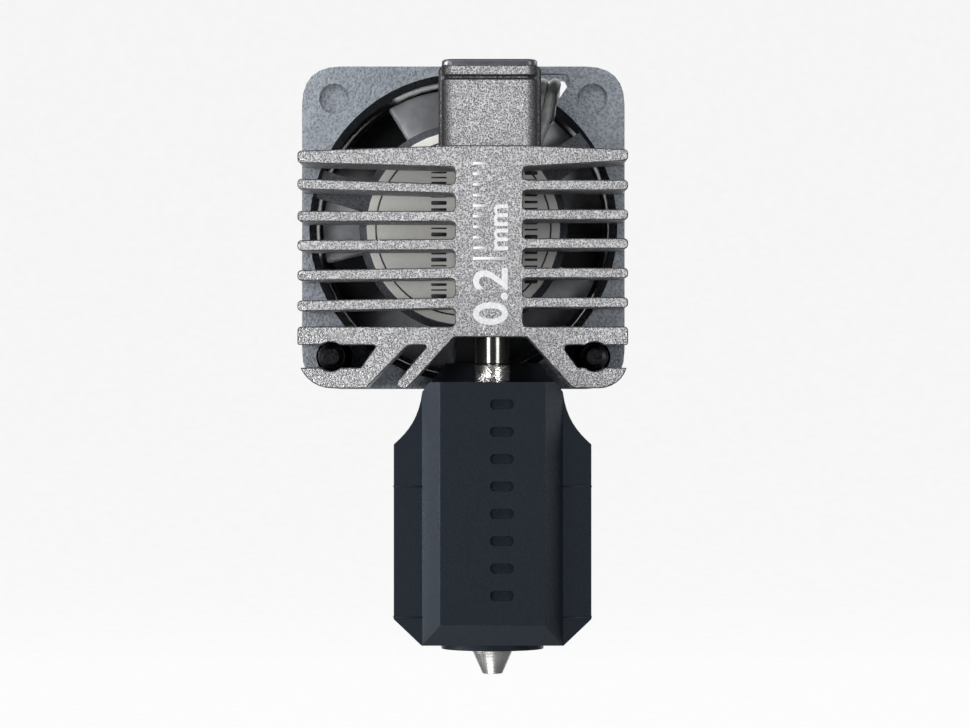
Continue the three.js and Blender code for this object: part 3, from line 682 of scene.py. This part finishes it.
def arc(centre, radius, first, last, steps=6):
    """Corners along an arc, from one angle to the other in degrees."""
    angles = [math.radians(first + (last - first) * step / steps) for step in range(steps + 1)]
    return [(centre[0] + radius * math.cos(a), centre[1] + radius * math.sin(a), 0.0) for a in angles]


def lobe(centre_x, edge_z):
    """The part of the round clearance around a fan screw that breaks into the slot's edge."""
    radius = 1.12
    rise = math.degrees(math.asin((edge_z + FAN_CORNER) / radius))
    first, last = (rise, 180 - rise) if rise > 0 else (-180 - rise, rise)
    return arc((centre_x, -FAN_CORNER), radius, first, last)


def plate_corners():
    """The whole outline, clockwise from the top left of the web."""
    top, bar_top, slot_top, slot_bottom = 5.97, -7.73, -9.12, -10.84
    right_foot, left_foot = 2.2, 2.6
    right = [(WEB_RIGHT, top, 0.0)] + fin_corners(RIGHT_FINS, WEB_RIGHT, SINK_RIGHT)
    right += [(WEB_RIGHT, bar_top, 0.35), (SINK_RIGHT, bar_top, 0.3), (SINK_RIGHT, slot_top, 0.15)]
    right += lobe(FAN_X + FAN_CORNER, slot_top)
    right += [(5.17, slot_top, 0.3), (6.44, slot_bottom, 0.35)]
    right += lobe(FAN_X + FAN_CORNER, slot_bottom)
    right += arc((SINK_RIGHT - right_foot, SINK_BOTTOM + right_foot), right_foot, -17, -90)
    right += [(6.06, SINK_BOTTOM, 0.7), (2.6, -8.52, 0.45)]
    left = [(-2.9, -8.52, 0.45), (-6.45, SINK_BOTTOM, 0.3), (-7.65, SINK_BOTTOM, 0.35)]
    left += [(-4.85, slot_top, 0.15), (-6.4, slot_top, 0.4), (-9.56, SINK_BOTTOM, 0.1)]
    left += arc((SINK_LEFT + left_foot, SINK_BOTTOM + left_foot), left_foot, 270, 203.6)
    left += lobe(FAN_X - FAN_CORNER, slot_bottom)
    left += [(-9.98, slot_bottom, 0.15), (-8.72, slot_top, 0.15)]
    left += lobe(FAN_X - FAN_CORNER, slot_top)
    left += [(SINK_LEFT, slot_top, 0.15), (SINK_LEFT, bar_top, 0.3), (WEB_LEFT, bar_top, 0.35)]
    left += list(reversed(fin_corners(LEFT_FINS, WEB_LEFT, SINK_LEFT)))
    left += [(WEB_LEFT, top, 0.0)]
    return right + left


plate = outline_piece("heatsink_plate", plate_corners())
grow(plate, make_cast_plate(), Depth=SINK_DEPTH * MM, Arc_points=4, Material=CAST)
bevel(tidy(plate), 0.17 * MM, segments=3, angle=50)
print("plate:", len(plate.data.polygons), "faces")

# %% [markdown]
# ## Rings, lathes and cutters
# Simple solids are stacks of rings, and a turned part is a stack of circles. One solid can be cut by
# others, and meshes can be joined into one piece.

# %% Solids from rings
def rounded_rectangle(x0, y0, x1, y1, radius, steps=6):
    """Points around a rectangle with rounded corners, in millimetres."""
    left, right, low, high = x0 + radius, x1 - radius, y0 + radius, y1 - radius
    points = []
    for number, centre in enumerate(((right, high), (left, high), (left, low), (right, low))):
        points += arc(centre, radius, 90 * number, 90 * number + 90, steps)
    return [(x, y) for x, y, _ in points]


def stack(name, rings):
    """A closed solid from rings of equal count: each ring is a list of (x, y, z) in millimetres."""
    piece = empty_piece(name)
    count = len(rings[0])
    places = [Vector(place) * MM for ring in rings for place in ring]
    faces = [list(reversed(range(count))), [len(places) - count + i for i in range(count)]]
    for level in range(len(rings) - 1):
        for i in range(count):
            j = (i + 1) % count
            low, high = level * count, (level + 1) * count
            faces.append([low + i, low + j, high + j, high + i])
    piece.data.from_pydata(places, [], faces)
    return tidy(piece)


def lathe(name, profile, centre=(0, 0), sides=64, axis="Z"):
    """A solid turned from (radius, height) pairs in millimetres, about an axis along Z or Y."""
    rings = []
    for radius, height in profile:
        ring = []
        for side in range(sides):
            turn = math.tau * side / sides
            u, v = radius * math.cos(turn), radius * math.sin(turn)
            if axis == "Z":
                ring.append((centre[0] + u, centre[1] + v, height))
            else:
                ring.append((centre[0] + u, height, centre[1] - v))
        rings.append(ring)
    return stack(name, rings)


def box(x0, x1, y0, y1, z0, z1):
    """A plain box in millimetres, used as a cutter."""
    return stack("box", [[(x0, y0, z), (x1, y0, z), (x1, y1, z), (x0, y1, z)] for z in (z0, z1)])


def cut_by(piece, *tools):
    """Takes the tools' solids out of the piece, and removes the tools."""
    for tool in tools:
        modifier = piece.modifiers.new("cut", "BOOLEAN")
        modifier.operation = "DIFFERENCE"
        modifier.solver = "EXACT"
        modifier.object = tool
    bake(piece)
    for tool in tools:
        bpy.data.objects.remove(tool)
    return piece


def join_into(piece, *others):
    """Adds the others' meshes to the piece, keeping every material."""
    materials = list(piece.data.materials)
    mesh = bmesh.new()
    mesh.from_mesh(piece.data)
    for other in others:
        first = len(mesh.faces)
        mesh.from_mesh(other.data)
        mesh.faces.ensure_lookup_table()
        places = []
        for material in other.data.materials:
            if material not in materials:
                materials.append(material)
            places.append(materials.index(material))
        for face in mesh.faces[first:]:
            face.material_index = places[face.material_index]
        bpy.data.objects.remove(other)
    piece.data.materials.clear()
    for material in materials:
        piece.data.materials.append(material)
    mesh.to_mesh(piece.data)
    mesh.free()
    return piece


# %% [markdown]
# ## The column above the fins
# Each ring of the column is the same rounded rectangle, pulled in a little where the groove runs and
# where the lip is rounded off. A turned cutter bores the funnel that guides the filament in. A wider
# slab stands out behind its corners.

# %% Column
FILAMENT_Y = 3.4
LIP_BOTTOM = 12.06
BORE_RADIUS = 1.7
# The height of each ring, and how far it is pulled in.
COLUMN_SECTIONS = [
    (4.9, 0), (10.9, 0), (11.0, 0.04), (11.08, 0.22), (11.2, 0.25), (11.3, 0.08), (11.36, 0.0), (12.0, 0.0),
    (LIP_BOTTOM, 0.06), (12.12, 0.04), (12.4, 0.06), (12.51, 0.18), (12.55, 0.4),
]
FLANK_SECTIONS = [(4.9, 0), (12.0, 0), (12.35, 0.15)]


def column_ring(height, inset):
    """The column's section at a height."""
    x0, y0, x1, y1 = -3.9 + inset, 0.3 + inset, 3.45 - inset, 8.6 - inset
    return [(x, y, height) for x, y in rounded_rectangle(x0, y0, x1, y1, 0.85 - 0.5 * inset)]


def flank_ring(height, inset):
    """The section of the wider slab behind the column."""
    return [(x, y, height) for x, y in rounded_rectangle(-4.15 + inset, 6.2, 3.75 - inset, 9.0, 0.25)]


column = stack("column", [column_ring(*section) for section in COLUMN_SECTIONS])
bore = lathe("bore", [(BORE_RADIUS, -9.5), (BORE_RADIUS, 11.1)], centre=(0, FILAMENT_Y))
funnel = lathe("funnel", [
    (0.95, 10.9), (1.0, 11.5), (1.25, 11.75), (2.05, 12.35), (2.35, 12.62), (2.4, 13.0),
], centre=(0, FILAMENT_Y))
wear_material(cut_by(column, funnel, bore), CAST)
column.data.materials.append(LIP)
for face in column.data.polygons:
    face.material_index = int(face.center.z > (LIP_BOTTOM + 0.01) * MM)
bevel(column, 0.05 * MM, 2, 40)
flank = wear_material(stack("flank", [flank_ring(*section) for section in FLANK_SECTIONS]), CAST)
bevel(flank, 0.1 * MM)
print("column:", len(column.data.polygons), "faces, flanks:", len(flank.data.polygons))

# %% [markdown]
# Die casting leaves small beads where the metal ran into flaws of the mould. They are scattered with
# a fixed seed, so that the same beads come back every time the script runs.

# %% Casting beads
BEAD_POINTS = 42


def make_beads():
    """Small flattened beads, scattered over the faces that are given."""
    tree, start, end = geometry_tree("casting beads", Density=60000.0, Seed=0, Size_mm=0.06)
    scatter = add(tree, "GeometryNodeDistributePointsOnFaces", {
        "Mesh": start["Geometry"], "Density": start["Density"], "Seed": start["Seed"],
    })
    ball = add(tree, "GeometryNodeMeshIcoSphere", {"Radius": MM, "Subdivisions": 2})
    size = add(tree, "FunctionNodeRandomValue", {
        "Min": (0.5, 0.5, 0.3), "Max": (1.2, 1.2, 0.6), "Seed": start["Seed"],
    }, data_type="FLOAT_VECTOR")
    scale = add(tree, "ShaderNodeVectorMath", {0: size, "Scale": start["Size mm"]}, operation="SCALE")
    placed = add(tree, "GeometryNodeInstanceOnPoints", {
        "Points": scatter, "Rotation": scatter.outputs["Rotation"], "Scale": scale,
        "Instance": add(tree, "GeometryNodeSetShadeSmooth", {"Geometry": ball}),
    })
    return finish_tree(tree, placed, start, end)


beads = empty_piece("beads")
beads.data = plate.data.copy()
grow(beads, make_beads(), Density=120000.0, Seed=4, Size_mm=0.05, Material=CAST)
print(len(beads.data.vertices) // BEAD_POINTS, "beads")

heatsink = join_into(plate, column, flank, beads)
heatsink.name = "heatsink_casting"
settle(heatsink, "hotend", "heatsink")

# %% [markdown]
# ## Print on the web
# The nozzle size is printed up the web in pale ink, with a plain scale of ticks beside its unit.
# Text is a curve; it becomes a mesh fitted to its box, a hundredth of a millimetre proud.

# %% Printed figures
PRINT_Y = -0.012
PRINT_LEFT, PRINT_RIGHT = -1.48, 1.17
TICKS, SCALE_FOOT, SCALE_HEIGHT = 9, -1.9, 6.4


def printed(text, x0, x1, z0, z1):
    """Text on the plate's front face that reads upwards and fills the given box, in millimetres."""
    data = bpy.data.curves.new("print_" + text, "FONT")
    data.body = text
    data.offset = 0.015
    data.resolution_u = 6
    source = bpy.data.objects.new("source_" + text, data)
    bpy.context.collection.objects.link(source)
    piece = empty_piece("print")
    piece.data = bpy.data.meshes.new_from_object(source.evaluated_get(bpy.context.evaluated_depsgraph_get()))
    bpy.data.objects.remove(source)
    places = [vertex.co.copy() for vertex in piece.data.vertices]
    left, right = min(p.x for p in places), max(p.x for p in places)
    low, high = min(p.y for p in places), max(p.y for p in places)
    for vertex, place in zip(piece.data.vertices, places):
        along = (place.x - left) / (right - left)
        up = (place.y - low) / (high - low)
        vertex.co = Vector((x1 + (x0 - x1) * up, PRINT_Y, z0 + (z1 - z0) * along)) * MM
    return wear_material(piece, PRINT)


def printed_bar(x0, x1, z0, z1, material=PRINT, y=PRINT_Y):
    """A thin bar of ink with rounded corners, at the given depth."""
    ring = rounded_rectangle(x0, z0, x1, z1, min(x1 - x0, z1 - z0) * 0.3, 3)
    piece = stack("bar", [[(x, depth, z) for x, z in ring] for depth in (y - 0.005, y + 0.005)])
    return wear_material(piece, material)


ticks = []
for tick in range(TICKS):
    height = SCALE_FOOT + SCALE_HEIGHT * tick / (TICKS - 1)
    length = 1.1 if tick % 4 == 0 else 0.6
    ticks.append(printed_bar(PRINT_LEFT, PRINT_LEFT + length, height, height + 0.22))
figures = join_into(
    printed("0.2", PRINT_LEFT, PRINT_RIGHT, -7.6, -3.3),
    printed_bar(PRINT_LEFT, PRINT_RIGHT, -2.7, -2.47),
    printed("mm", 0.1, PRINT_RIGHT, -1.95, 1.5),
    *ticks,
)
figures.name = "nozzle_size_print"
settle(figures, "hotend", None)

# %% [markdown]
# ## Parts whose CAD shape is already right
# Many small parts need only what the solid lacks: rounded edges, a real surface and clean shading.
# One table holds their finish and how far their edges are rounded. The connector also gets the
# windows its latches snap into, and a groove down each side.

# %% Finished copies
COPIES = [
    # node, slot, material, bevel in mm, segments
    ("heat_break", "polished_steel", POLISHED, 0.08, 2),
    ("throat_sleeve", "plated_metal", PLATED, 0.06, 2),
    ("heater_block", "dark_metal", DARK_METAL, 0.15, 2),
    ("nozzle", "polished_steel", STEEL, 0.08, 3),
    ("ceramic_heater", "ceramic", CERAMIC, 0.1, 2),
    ("heater_terminal_left", "plated_metal", PLATED, 0.04, 2),
    ("heater_terminal_right", "plated_metal", PLATED, 0.04, 2),
    ("thermistor", "polished_steel", SPRING_STEEL, 0.1, 2),
    ("heater_clip", "polished_steel", SPRING_STEEL, 0.08, 2),
    ("bearing_tube", "bearing_bronze", BRONZE, 0.06, 2),
    ("sleeve_bearing", "bearing_bronze", BRONZE, 0.06, 2),
    ("circuit_board", "board", BOARD, 0.03, 1),
    ("hall_sensor", "black_steel", BLACK_STEEL, 0.06, 2),
    ("stator_core", "dark_metal", DARK_METAL, 0.04, 1),
    ("rotor_cup", "polished_steel", SPRING_STEEL, 0.08, 2),
    ("rotor_magnet", "magnet", MAGNET, 0.08, 2),
    ("fan_shaft", "polished_steel", STEEL, 0.12, 2),
    ("retaining_clip", "black_steel", BLACK_STEEL, 0.04, 1),
    ("connector_contact_a", "plated_metal", PLATED, 0.03, 1),
    ("connector_contact_b", "plated_metal", PLATED, 0.03, 1),
    ("lead_connector", "connector_nylon", NYLON, 0.1, 2),
]
TURNING_PARTS = ("rotor_cup", "rotor_magnet", "fan_shaft", "retaining_clip")
finished = {}
for node, slot_name, material, width, segments in COPIES:
    finished[node] = finished_copy(node, node + "_finished", material, width * MM, segments)
    if node == "lead_connector":
        windows = [box(x - 0.35, x + 0.35, 22.0, 24.0, -30.3, -29.3) for x in (0.4, 1.6)]
        grooves = [box(side - 0.12, side + 0.12, 19.0, 24.0, -29.9, -27.0) for side in (-1.3, 3.3)]
        shade(cut_by(finished[node], *windows, *grooves))
    settle(finished[node], "rotor" if node in TURNING_PARTS else "hotend", node)

# %% [markdown]
# ## The fan's frame
# The frame is moulded in a dark grey plastic with a fine sparkle, and its edges carry the small
# radius that lets a moulding leave its tool. Inside the duct the wall is smooth and painted near black
# as painted shade, and the struts and the hub plate are painted darker as shade, with a duller grain.

# %% Fan frame
DUCT_MOUTH = 12.0
WALL_REACH = 10.5
OUTSIDE, DUCT_WALL, SPIDER = 0, 1, 2
fan_frame = finished_copy("fan_frame", "fan_frame_moulding", FRAME_PLASTIC, 0.22 * MM, 3)
# The duct wall and the spider get the painted-shade materials.
fan_frame.data.materials.append(SHADED_DUCT_PLASTIC)
fan_frame.data.materials.append(SHADED_SPIDER_PLASTIC)
face_counts = [0, 0, 0]
for face in fan_frame.data.polygons:
    corners = [fan_frame.data.vertices[index].co for index in face.vertices]
    reach = max(math.hypot(corner.x - FAN_X * MM, corner.z) for corner in corners)
    spoke = Vector((face.center.x - FAN_X * MM, 0.0, face.center.z)).normalized()
    if reach < DUCT_MOUTH * MM:
        on_wall = face.normal.dot(spoke) < -0.5 and reach > WALL_REACH * MM
        face.material_index = DUCT_WALL if on_wall else SPIDER
    face_counts[face.material_index] += 1
print("outside, duct and spider faces:", face_counts)
settle(fan_frame, "hotend", "fan_frame")

# %% [markdown]
# The label is a thin disc of film stuck on the hub plate. Its print is generic: a ring near the edge
# and two columns of bars whose widths come from one short list.

# %% Fan label
LABEL_FRONT = 9.2
INK_FRONT = LABEL_FRONT - 0.006
BAR_WIDTHS = [0.3, 0.12, 0.12, 0.4, 0.2, 0.12, 0.3, 0.2, 0.12, 0.4, 0.12, 0.3, 0.2, 0.12, 0.3]


def fan_disc(name, radius, back, front):
    """A disc on the fan's axis between two depths."""
    return lathe(name, [(radius, back), (radius, front)], centre=(FAN_X, 0), axis="Y")


def bar_column(x0, x1, top, bottom, gap=0.26):
    """Printed bars of uneven width, one below the other."""
    bars = []
    height = top
    while height > bottom:
        width = BAR_WIDTHS[len(bars) % len(BAR_WIDTHS)]
        bars.append(printed_bar(x0, x1, height - width, height, INK, INK_FRONT))
        height -= width + gap
    return bars


label = finished_copy("fan_label", "fan_label_film", LABEL_FILM, 0.02 * MM, 1)
border = fan_disc("border", 6.85, LABEL_FRONT + 0.004, INK_FRONT)
cut_by(border, fan_disc("inside", 6.72, LABEL_FRONT + 0.02, LABEL_FRONT - 0.02))
marks = bar_column(-4.75, -3.55, 4.9, -5.2) + bar_column(2.5, 3.5, 4.4, -4.3, 0.34)
join_into(label, wear_material(border, INK), *marks)
settle(label, "hotend", "fan_label")

# %% [markdown]
# ## The impeller
# Every blade is the same sheet, wound around the hub while it runs from the front to the back. The
# tree bends one grid that way, gives it a thickness, and sets copies of it round the axis.

# %% Blade tree
def make_blades():
    """A ring of curved blades round an axis along Y."""
    tree, start, end = geometry_tree(
        "fan blades", Count=5, Hub_radius=7.3 * MM, Tip_radius=11 * MM, Front=11.7 * MM, Back=17.8 * MM,
        Front_edge=122.0, Spread=76.0, Thickness=0.55 * MM)
    grid = add(tree, "GeometryNodeMeshGrid", {
        "Size X": 1.0, "Size Y": 1.0, "Vertices X": 33, "Vertices Y": 9,
    })
    place = add(tree, "GeometryNodeInputPosition")
    along = calc(tree, "ADD", component(tree, place, "X"), 0.5)
    out = calc(tree, "ADD", component(tree, place, "Y"), 0.5)
    wound = times(tree, along, start["Spread"])
    turn = calc(tree, "RADIANS", calc(tree, "SUBTRACT", start["Front edge"], wound))
    reach = blend(tree, out, start["Hub radius"], start["Tip radius"])
    bent = add(tree, "ShaderNodeCombineXYZ", {
        "X": times(tree, reach, calc(tree, "COSINE", turn)),
        "Y": blend(tree, along, start["Front"], start["Back"]),
        "Z": times(tree, reach, calc(tree, "SINE", turn)),
    })
    sheet = add(tree, "GeometryNodeSetPosition", {"Geometry": grid, "Position": bent})
    half = times(tree, start["Thickness"], -0.5)
    normal = add(tree, "GeometryNodeInputNormal")
    away = add(tree, "ShaderNodeVectorMath", {0: normal, "Scale": half}, operation="SCALE")
    lowered = add(tree, "GeometryNodeSetPosition", {"Geometry": sheet, "Offset": away})
    blade = sealed(tree, lowered, {"Offset Scale": start["Thickness"]})
    share = calc(tree, "DIVIDE", math.tau, start["Count"])
    around = times(tree, add(tree, "GeometryNodeInputIndex"), share)
    ring = add(tree, "GeometryNodeInstanceOnPoints", {
        "Points": add(tree, "GeometryNodePoints", {"Count": start["Count"]}), "Instance": blade,
        "Rotation": add(tree, "ShaderNodeCombineXYZ", {"Y": around}),
    })
    return finish_tree(tree, ring, start, end)


# %% [markdown]
# The hub is turned in one piece with the blades. It is a cup, open at the front where the motor sits,
# with a boss in the middle that grips the shaft.

# %% Impeller
HUB_RADIUS, BLADE_TIP = 7.6, 11.0
HUB_PROFILE = [
    (7.0, 11.0), (7.45, 11.0), (HUB_RADIUS, 11.15), (HUB_RADIUS, 18.2), (7.4, 18.5), (7.1, 18.6),
    (1.2, 18.6), (0.77, 18.4), (0.77, 17.0), (1.7, 17.0), (1.7, 17.9), (7.0, 17.9), (7.0, 11.0),
]
blades = grow(
    empty_piece("blades"), make_blades(), Hub_radius=(HUB_RADIUS - 0.2) * MM, Tip_radius=BLADE_TIP * MM,
    Material=BLADE_PLASTIC)
blades.data.transform(Matrix.Translation((FAN_X * MM, 0, 0)))
bevel(tidy(blades), 0.12 * MM, 2, 50)
hub = lathe("hub", HUB_PROFILE, centre=(FAN_X, 0), axis="Y")
bevel(wear_material(hub, HUB_PLASTIC), 0.05 * MM, 2, 50)
impeller = join_into(blades, hub)
impeller.name = "impeller_moulding"
settle(impeller, "rotor", "impeller")

# %% [markdown]
# ## Stator coils
# The windings sit on the four arms of the stator. The tree draws one long line that circles the arm
# while it moves outwards, and runs a round section along it, as a winding machine lays the wire.

# %% Coil tree
def squared(tree, wave):
    """Flattens a wave's crests, which turns a circle into a rounded square."""
    power = calc(tree, "POWER", calc(tree, "ABSOLUTE", wave), 0.45)
    return times(tree, power, calc(tree, "SIGN", wave))


def make_winding():
    """One layer of wire wound about an arm that points along X."""
    tree, start, end = geometry_tree(
        "coil winding", Turns=10, Inner=3.4 * MM, Outer=4.7 * MM, Half_depth=2.2 * MM, Half_width=1.3 * MM,
        Wire=0.14 * MM)
    count = times(tree, start["Turns"], 24.0)
    line = add(tree, "GeometryNodeMeshLine", {"Count": count, "Offset": (0, 0, 0)})
    share = calc(tree, "DIVIDE", add(tree, "GeometryNodeInputIndex"), count)
    turn = times(tree, times(tree, share, start["Turns"]), math.tau)
    spot = add(tree, "ShaderNodeCombineXYZ", {
        "X": blend(tree, share, start["Inner"], start["Outer"]),
        "Y": times(tree, squared(tree, calc(tree, "COSINE", turn)), start["Half depth"]),
        "Z": times(tree, squared(tree, calc(tree, "SINE", turn)), start["Half width"]),
    })
    wound = add(tree, "GeometryNodeSetPosition", {"Geometry": line, "Position": spot})
    curve = add(tree, "GeometryNodeMeshToCurve", {"Mesh": wound})
    wire = wire_along(tree, curve, times(tree, start["Wire"], 0.5), 6)
    return finish_tree(tree, wire, start, end)


# %% [markdown]
# The same winding is made four times and turned to each arm in turn.

# %% Coils
WINDING = make_winding()
COIL_MIDDLE = 14.1
for number in range(4):
    winding = grow(
        empty_piece(f"winding_{number + 1}"), WINDING, Turns=9, Half_depth=2.13 * MM, Half_width=1.23 * MM,
        Inner=3.5 * MM, Outer=4.6 * MM, Material=COPPER)
    turn_to_arm = Matrix.Rotation(-math.radians(90 * number), 4, "Y")
    winding.data.transform(Matrix.Translation((FAN_X * MM, COIL_MIDDLE * MM, 0)) @ turn_to_arm)
    settle(winding, "hotend", f"stator_coil_{number + 1}")

# %% [markdown]
# ## Fan screws
# A black screw holds the fan through each lower hole. The CAD screw gets rounded edges, and a tree
# winds a thread round its shank: a spiral with a small section, ended inside the metal.

# %% Screws
THREAD_FRONT = 2.6


def make_thread():
    """A spiral ridge about an axis along Y."""
    tree, start, end = geometry_tree("screw thread", Radius=0.95 * MM, Pitch=0.5 * MM, Length=14 * MM)
    spiral = add(tree, "GeometryNodeCurveSpiral", {
        "Resolution": 20, "Rotations": calc(tree, "DIVIDE", start["Length"], start["Pitch"]),
        "Start Radius": start["Radius"], "End Radius": start["Radius"], "Height": start["Length"],
    })
    thread = wire_along(tree, spiral, times(tree, start["Pitch"], 0.3), 5)
    laid = add(tree, "GeometryNodeTransform", {"Geometry": thread, "Rotation": (-math.pi / 2, 0, 0)})
    return finish_tree(tree, laid, start, end)


THREAD = make_thread()
for node, side in (("fan_screw_left", -1), ("fan_screw_right", 1)):
    screw = finished_copy(node, node + "_finished", BLACK_STEEL, 0.08 * MM, 2, 40)
    thread = grow(
        empty_piece("thread"), THREAD, Radius=0.95 * MM, Pitch=0.45 * MM, Length=6.5 * MM,
        Material=BLACK_STEEL)
    screw_foot = Vector((FAN_X + side * FAN_CORNER, THREAD_FRONT, -FAN_CORNER)) * MM
    thread.data.transform(Matrix.Translation(screw_foot))
    join_into(screw, thread)
    settle(screw, "hotend", node)

# %% [markdown]
# ## The silicone sock
# The sock is a soft boot pulled over the heater block. Its front facet carries a row of sunken ribs
# to grip it by. A tree draws one rib as a pill, gives it a depth and repeats it down a line.

# %% Rib cutters
def make_ribs():
    """A row of pills that runs down from the origin, to be cut into a face at the front."""
    tree, start, end = geometry_tree(
        "rib row", Count=8, Pitch=1.9 * MM, Width=1.8 * MM, Height=0.8 * MM, Depth=0.4 * MM)
    outline = add(tree, "GeometryNodeCurvePrimitiveQuadrilateral", {
        "Width": start["Width"], "Height": start["Height"],
    })
    rib = slab(tree, outline, times(tree, start["Height"], 0.45), 5, start["Depth"])
    step = add(tree, "ShaderNodeCombineXYZ", {"Z": times(tree, start["Pitch"], -1.0)})
    row = add(tree, "GeometryNodeMeshLine", {"Count": start["Count"], "Offset": step})
    placed = add(tree, "GeometryNodeInstanceOnPoints", {"Points": row, "Instance": rib})
    return finish_tree(tree, placed, start, end)


# %% [markdown]
# The cut leaves the facet in one piece with the rest. A fine raised line runs round the sock at two
# heights, where the parts of its mould met. Each is a thin ring that is open behind the facet.

# %% Sock
RIB_X, RIB_FRONT, RIB_TOP = 0.7, -2.8, -13.6
SEAM_HEIGHTS = (-19.8, -29.65)
sock = finished_copy("silicone_sock", "silicone_sock_moulding", SILICONE, 0.28 * MM, 3, 25)
ribs = grow(
    empty_piece("ribs"), make_ribs(), Count=8, Pitch=2.05 * MM, Width=1.8 * MM, Height=0.75 * MM,
    Depth=0.6 * MM, Material=SILICONE)
ribs.data.transform(Matrix.Translation(Vector((RIB_X, RIB_FRONT, RIB_TOP)) * MM))
shade(cut_by(sock, tidy(ribs)))
for height in SEAM_HEIGHTS:
    ring = rounded_rectangle(-7.5, -0.95, 7.5, 8.54, 0.4)
    seam = stack("seam", [[(x, y, height + offset) for x, y in ring] for offset in (-0.04, 0.04)])
    inside = box(-7.25, 7.25, -0.7, 8.3, height - 1, height + 1)
    behind_facet = box(-5.0, 5.0, -2.0, 1.0, height - 1, height + 1)
    cut_by(seam, inside, behind_facet)
    join_into(sock, wear_material(seam, SILICONE))
settle(sock, "sock", "silicone_sock")

# %% [markdown]
# ## The wires
# The wires are loose and end in one connector, so each is declared as a cord with its real length
# and diameter. The connector and its contacts hang on them.

# %% Leads
for name, wire in leads.items():
    wire.data.materials.append(INSULATION)
    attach(wire, "hotend")
    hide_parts(name)
    route = LEAD_ROUTES[name]
print("cords:", list(leads))

# %% [markdown]
# ## Floor and backdrop
# The part hangs above a pale floor that curves up into a wall all round, so no horizon shows. The
# floor lies deep enough for the sock to be pulled off. The stage glows by itself to stay even, and
# its middle, right below the part, is a real grey paper that takes the light.

# %% Stage paper
def stage_paper():
    """Pale paper that lights itself evenly."""
    material, tree, shader, position = start_material("stage paper", Roughness=0.9, Emission_Strength=1.0)
    fibres = effect(tree, GRAIN, Position=position, Grain_mm=1.5, Depth=0.02, Softness=0.4)
    distance = add(tree, "ShaderNodeVectorMath", {0: position}, operation="LENGTH").outputs["Value"]
    far = remap(tree, distance, 0.0, 1.0, 0.06, 0.1)
    paper = mix_colour(tree, far, 0.42, 0.012)
    flecks = mix_colour(tree, fibres["Mask"], 0.985, 1.0)
    glow = mix_colour(tree, 1.0, mix_colour(tree, far, 0.42, 0.905), flecks, blend_type="MULTIPLY")
    connect(tree, shader, Base_Color=paper, Emission_Color=glow, Normal=fibres["Normal"])
    return material


# %% [markdown]
# The shape of the stage is turned like any other round part: a flat floor, a quarter circle and a
# wall. Its lid is taken off and its faces are turned inwards.

# %% Stage
STAGE_FLOOR = -62.0
FLAT_RADIUS, SWEEP_RADIUS, WALL_TOP = 450.0, 250.0, 900.0
LID_HEIGHT = 0.85
sweep_centre = (FLAT_RADIUS, STAGE_FLOOR + SWEEP_RADIUS)
sweep = [(radius, STAGE_FLOOR) for radius in (10.0, 120.0, 280.0)]
sweep += [(radius, height) for radius, height, _ in arc(sweep_centre, SWEEP_RADIUS, -90, 0, 12)]
sweep.append((FLAT_RADIUS + SWEEP_RADIUS, WALL_TOP))
stage = lathe("stage_sweep", sweep, sides=96)
stage_mesh = bmesh.new()
stage_mesh.from_mesh(stage.data)
lid = [face for face in stage_mesh.faces if face.calc_center_median().z > LID_HEIGHT]
bmesh.ops.delete(stage_mesh, geom=lid, context="FACES_ONLY")
for face in stage_mesh.faces:
    face.normal_flip()
stage_mesh.to_mesh(stage.data)
stage_mesh.free()
wear_material(stage, stage_paper())
stage.visible_diffuse = False
stage.visible_glossy = False
stage.visible_shadow = False

# %% [markdown]
# ## Light
# The key comes from the upper left with a wide panel over the top, and a strong one from the side
# rakes across the casting's grain. Small panels left and right draw the long highlights on round
# metal, and low and back ones lift the nozzle and the outlines.

# %% Lights
AIM = Vector((0, 0.005, -0.01))
WHITE, WARM, COOL = (1, 1, 1), (1.0, 0.99, 0.98), (0.97, 0.98, 1.0)
PANELS = [
    # name, place and size in metres, power in watts, colour
    ("key", (-0.36, -0.2, 0.28), (0.25, 0.25), 1.0, WARM),
    ("top", (0.05, -0.29, 0.4), (0.4, 0.22), 0.82, WHITE),
    ("side", (-0.5, -0.13, 0.0), (0.22, 0.22), 2.3, WHITE),
    ("left", (-0.24, -0.46, -0.01), (0.16, 0.1), 0.6, WHITE),
    ("right", (0.3, -0.42, 0.02), (0.16, 0.1), 0.62, COOL),
    ("far right", (0.5, 0.2, 0.12), (0.3, 0.3), 0.7, WHITE),
    ("low", (-0.08, -0.14, -0.38), (0.25, 0.25), 0.9, WHITE),
    ("back", (0.0, 0.9, 0.1), (1.2, 1.2), 5.5, WHITE),
]
for name, place, panel_size, power, colour in PANELS:
    data = bpy.data.lights.new(name, "AREA")
    data.shape = "RECTANGLE"
    data.size, data.size_y = panel_size
    data.energy = power
    data.color = colour
    lamp = bpy.data.objects.new(name, data)
    lamp.location = place
    lamp.rotation_euler = (AIM - lamp.location).to_track_quat("-Z", "Y").to_euler()
    bpy.context.collection.objects.link(lamp)
world = bpy.data.worlds.new("world")
world.use_nodes = True
background = world.node_tree.nodes["Background"].inputs
background["Color"].default_value = (0.94, 0.96, 1.0, 1)
background["Strength"].default_value = 0.16
bpy.context.scene.world = world
bpy.context.scene.view_settings.view_transform = "Standard"
print(len(PANELS), "panels")
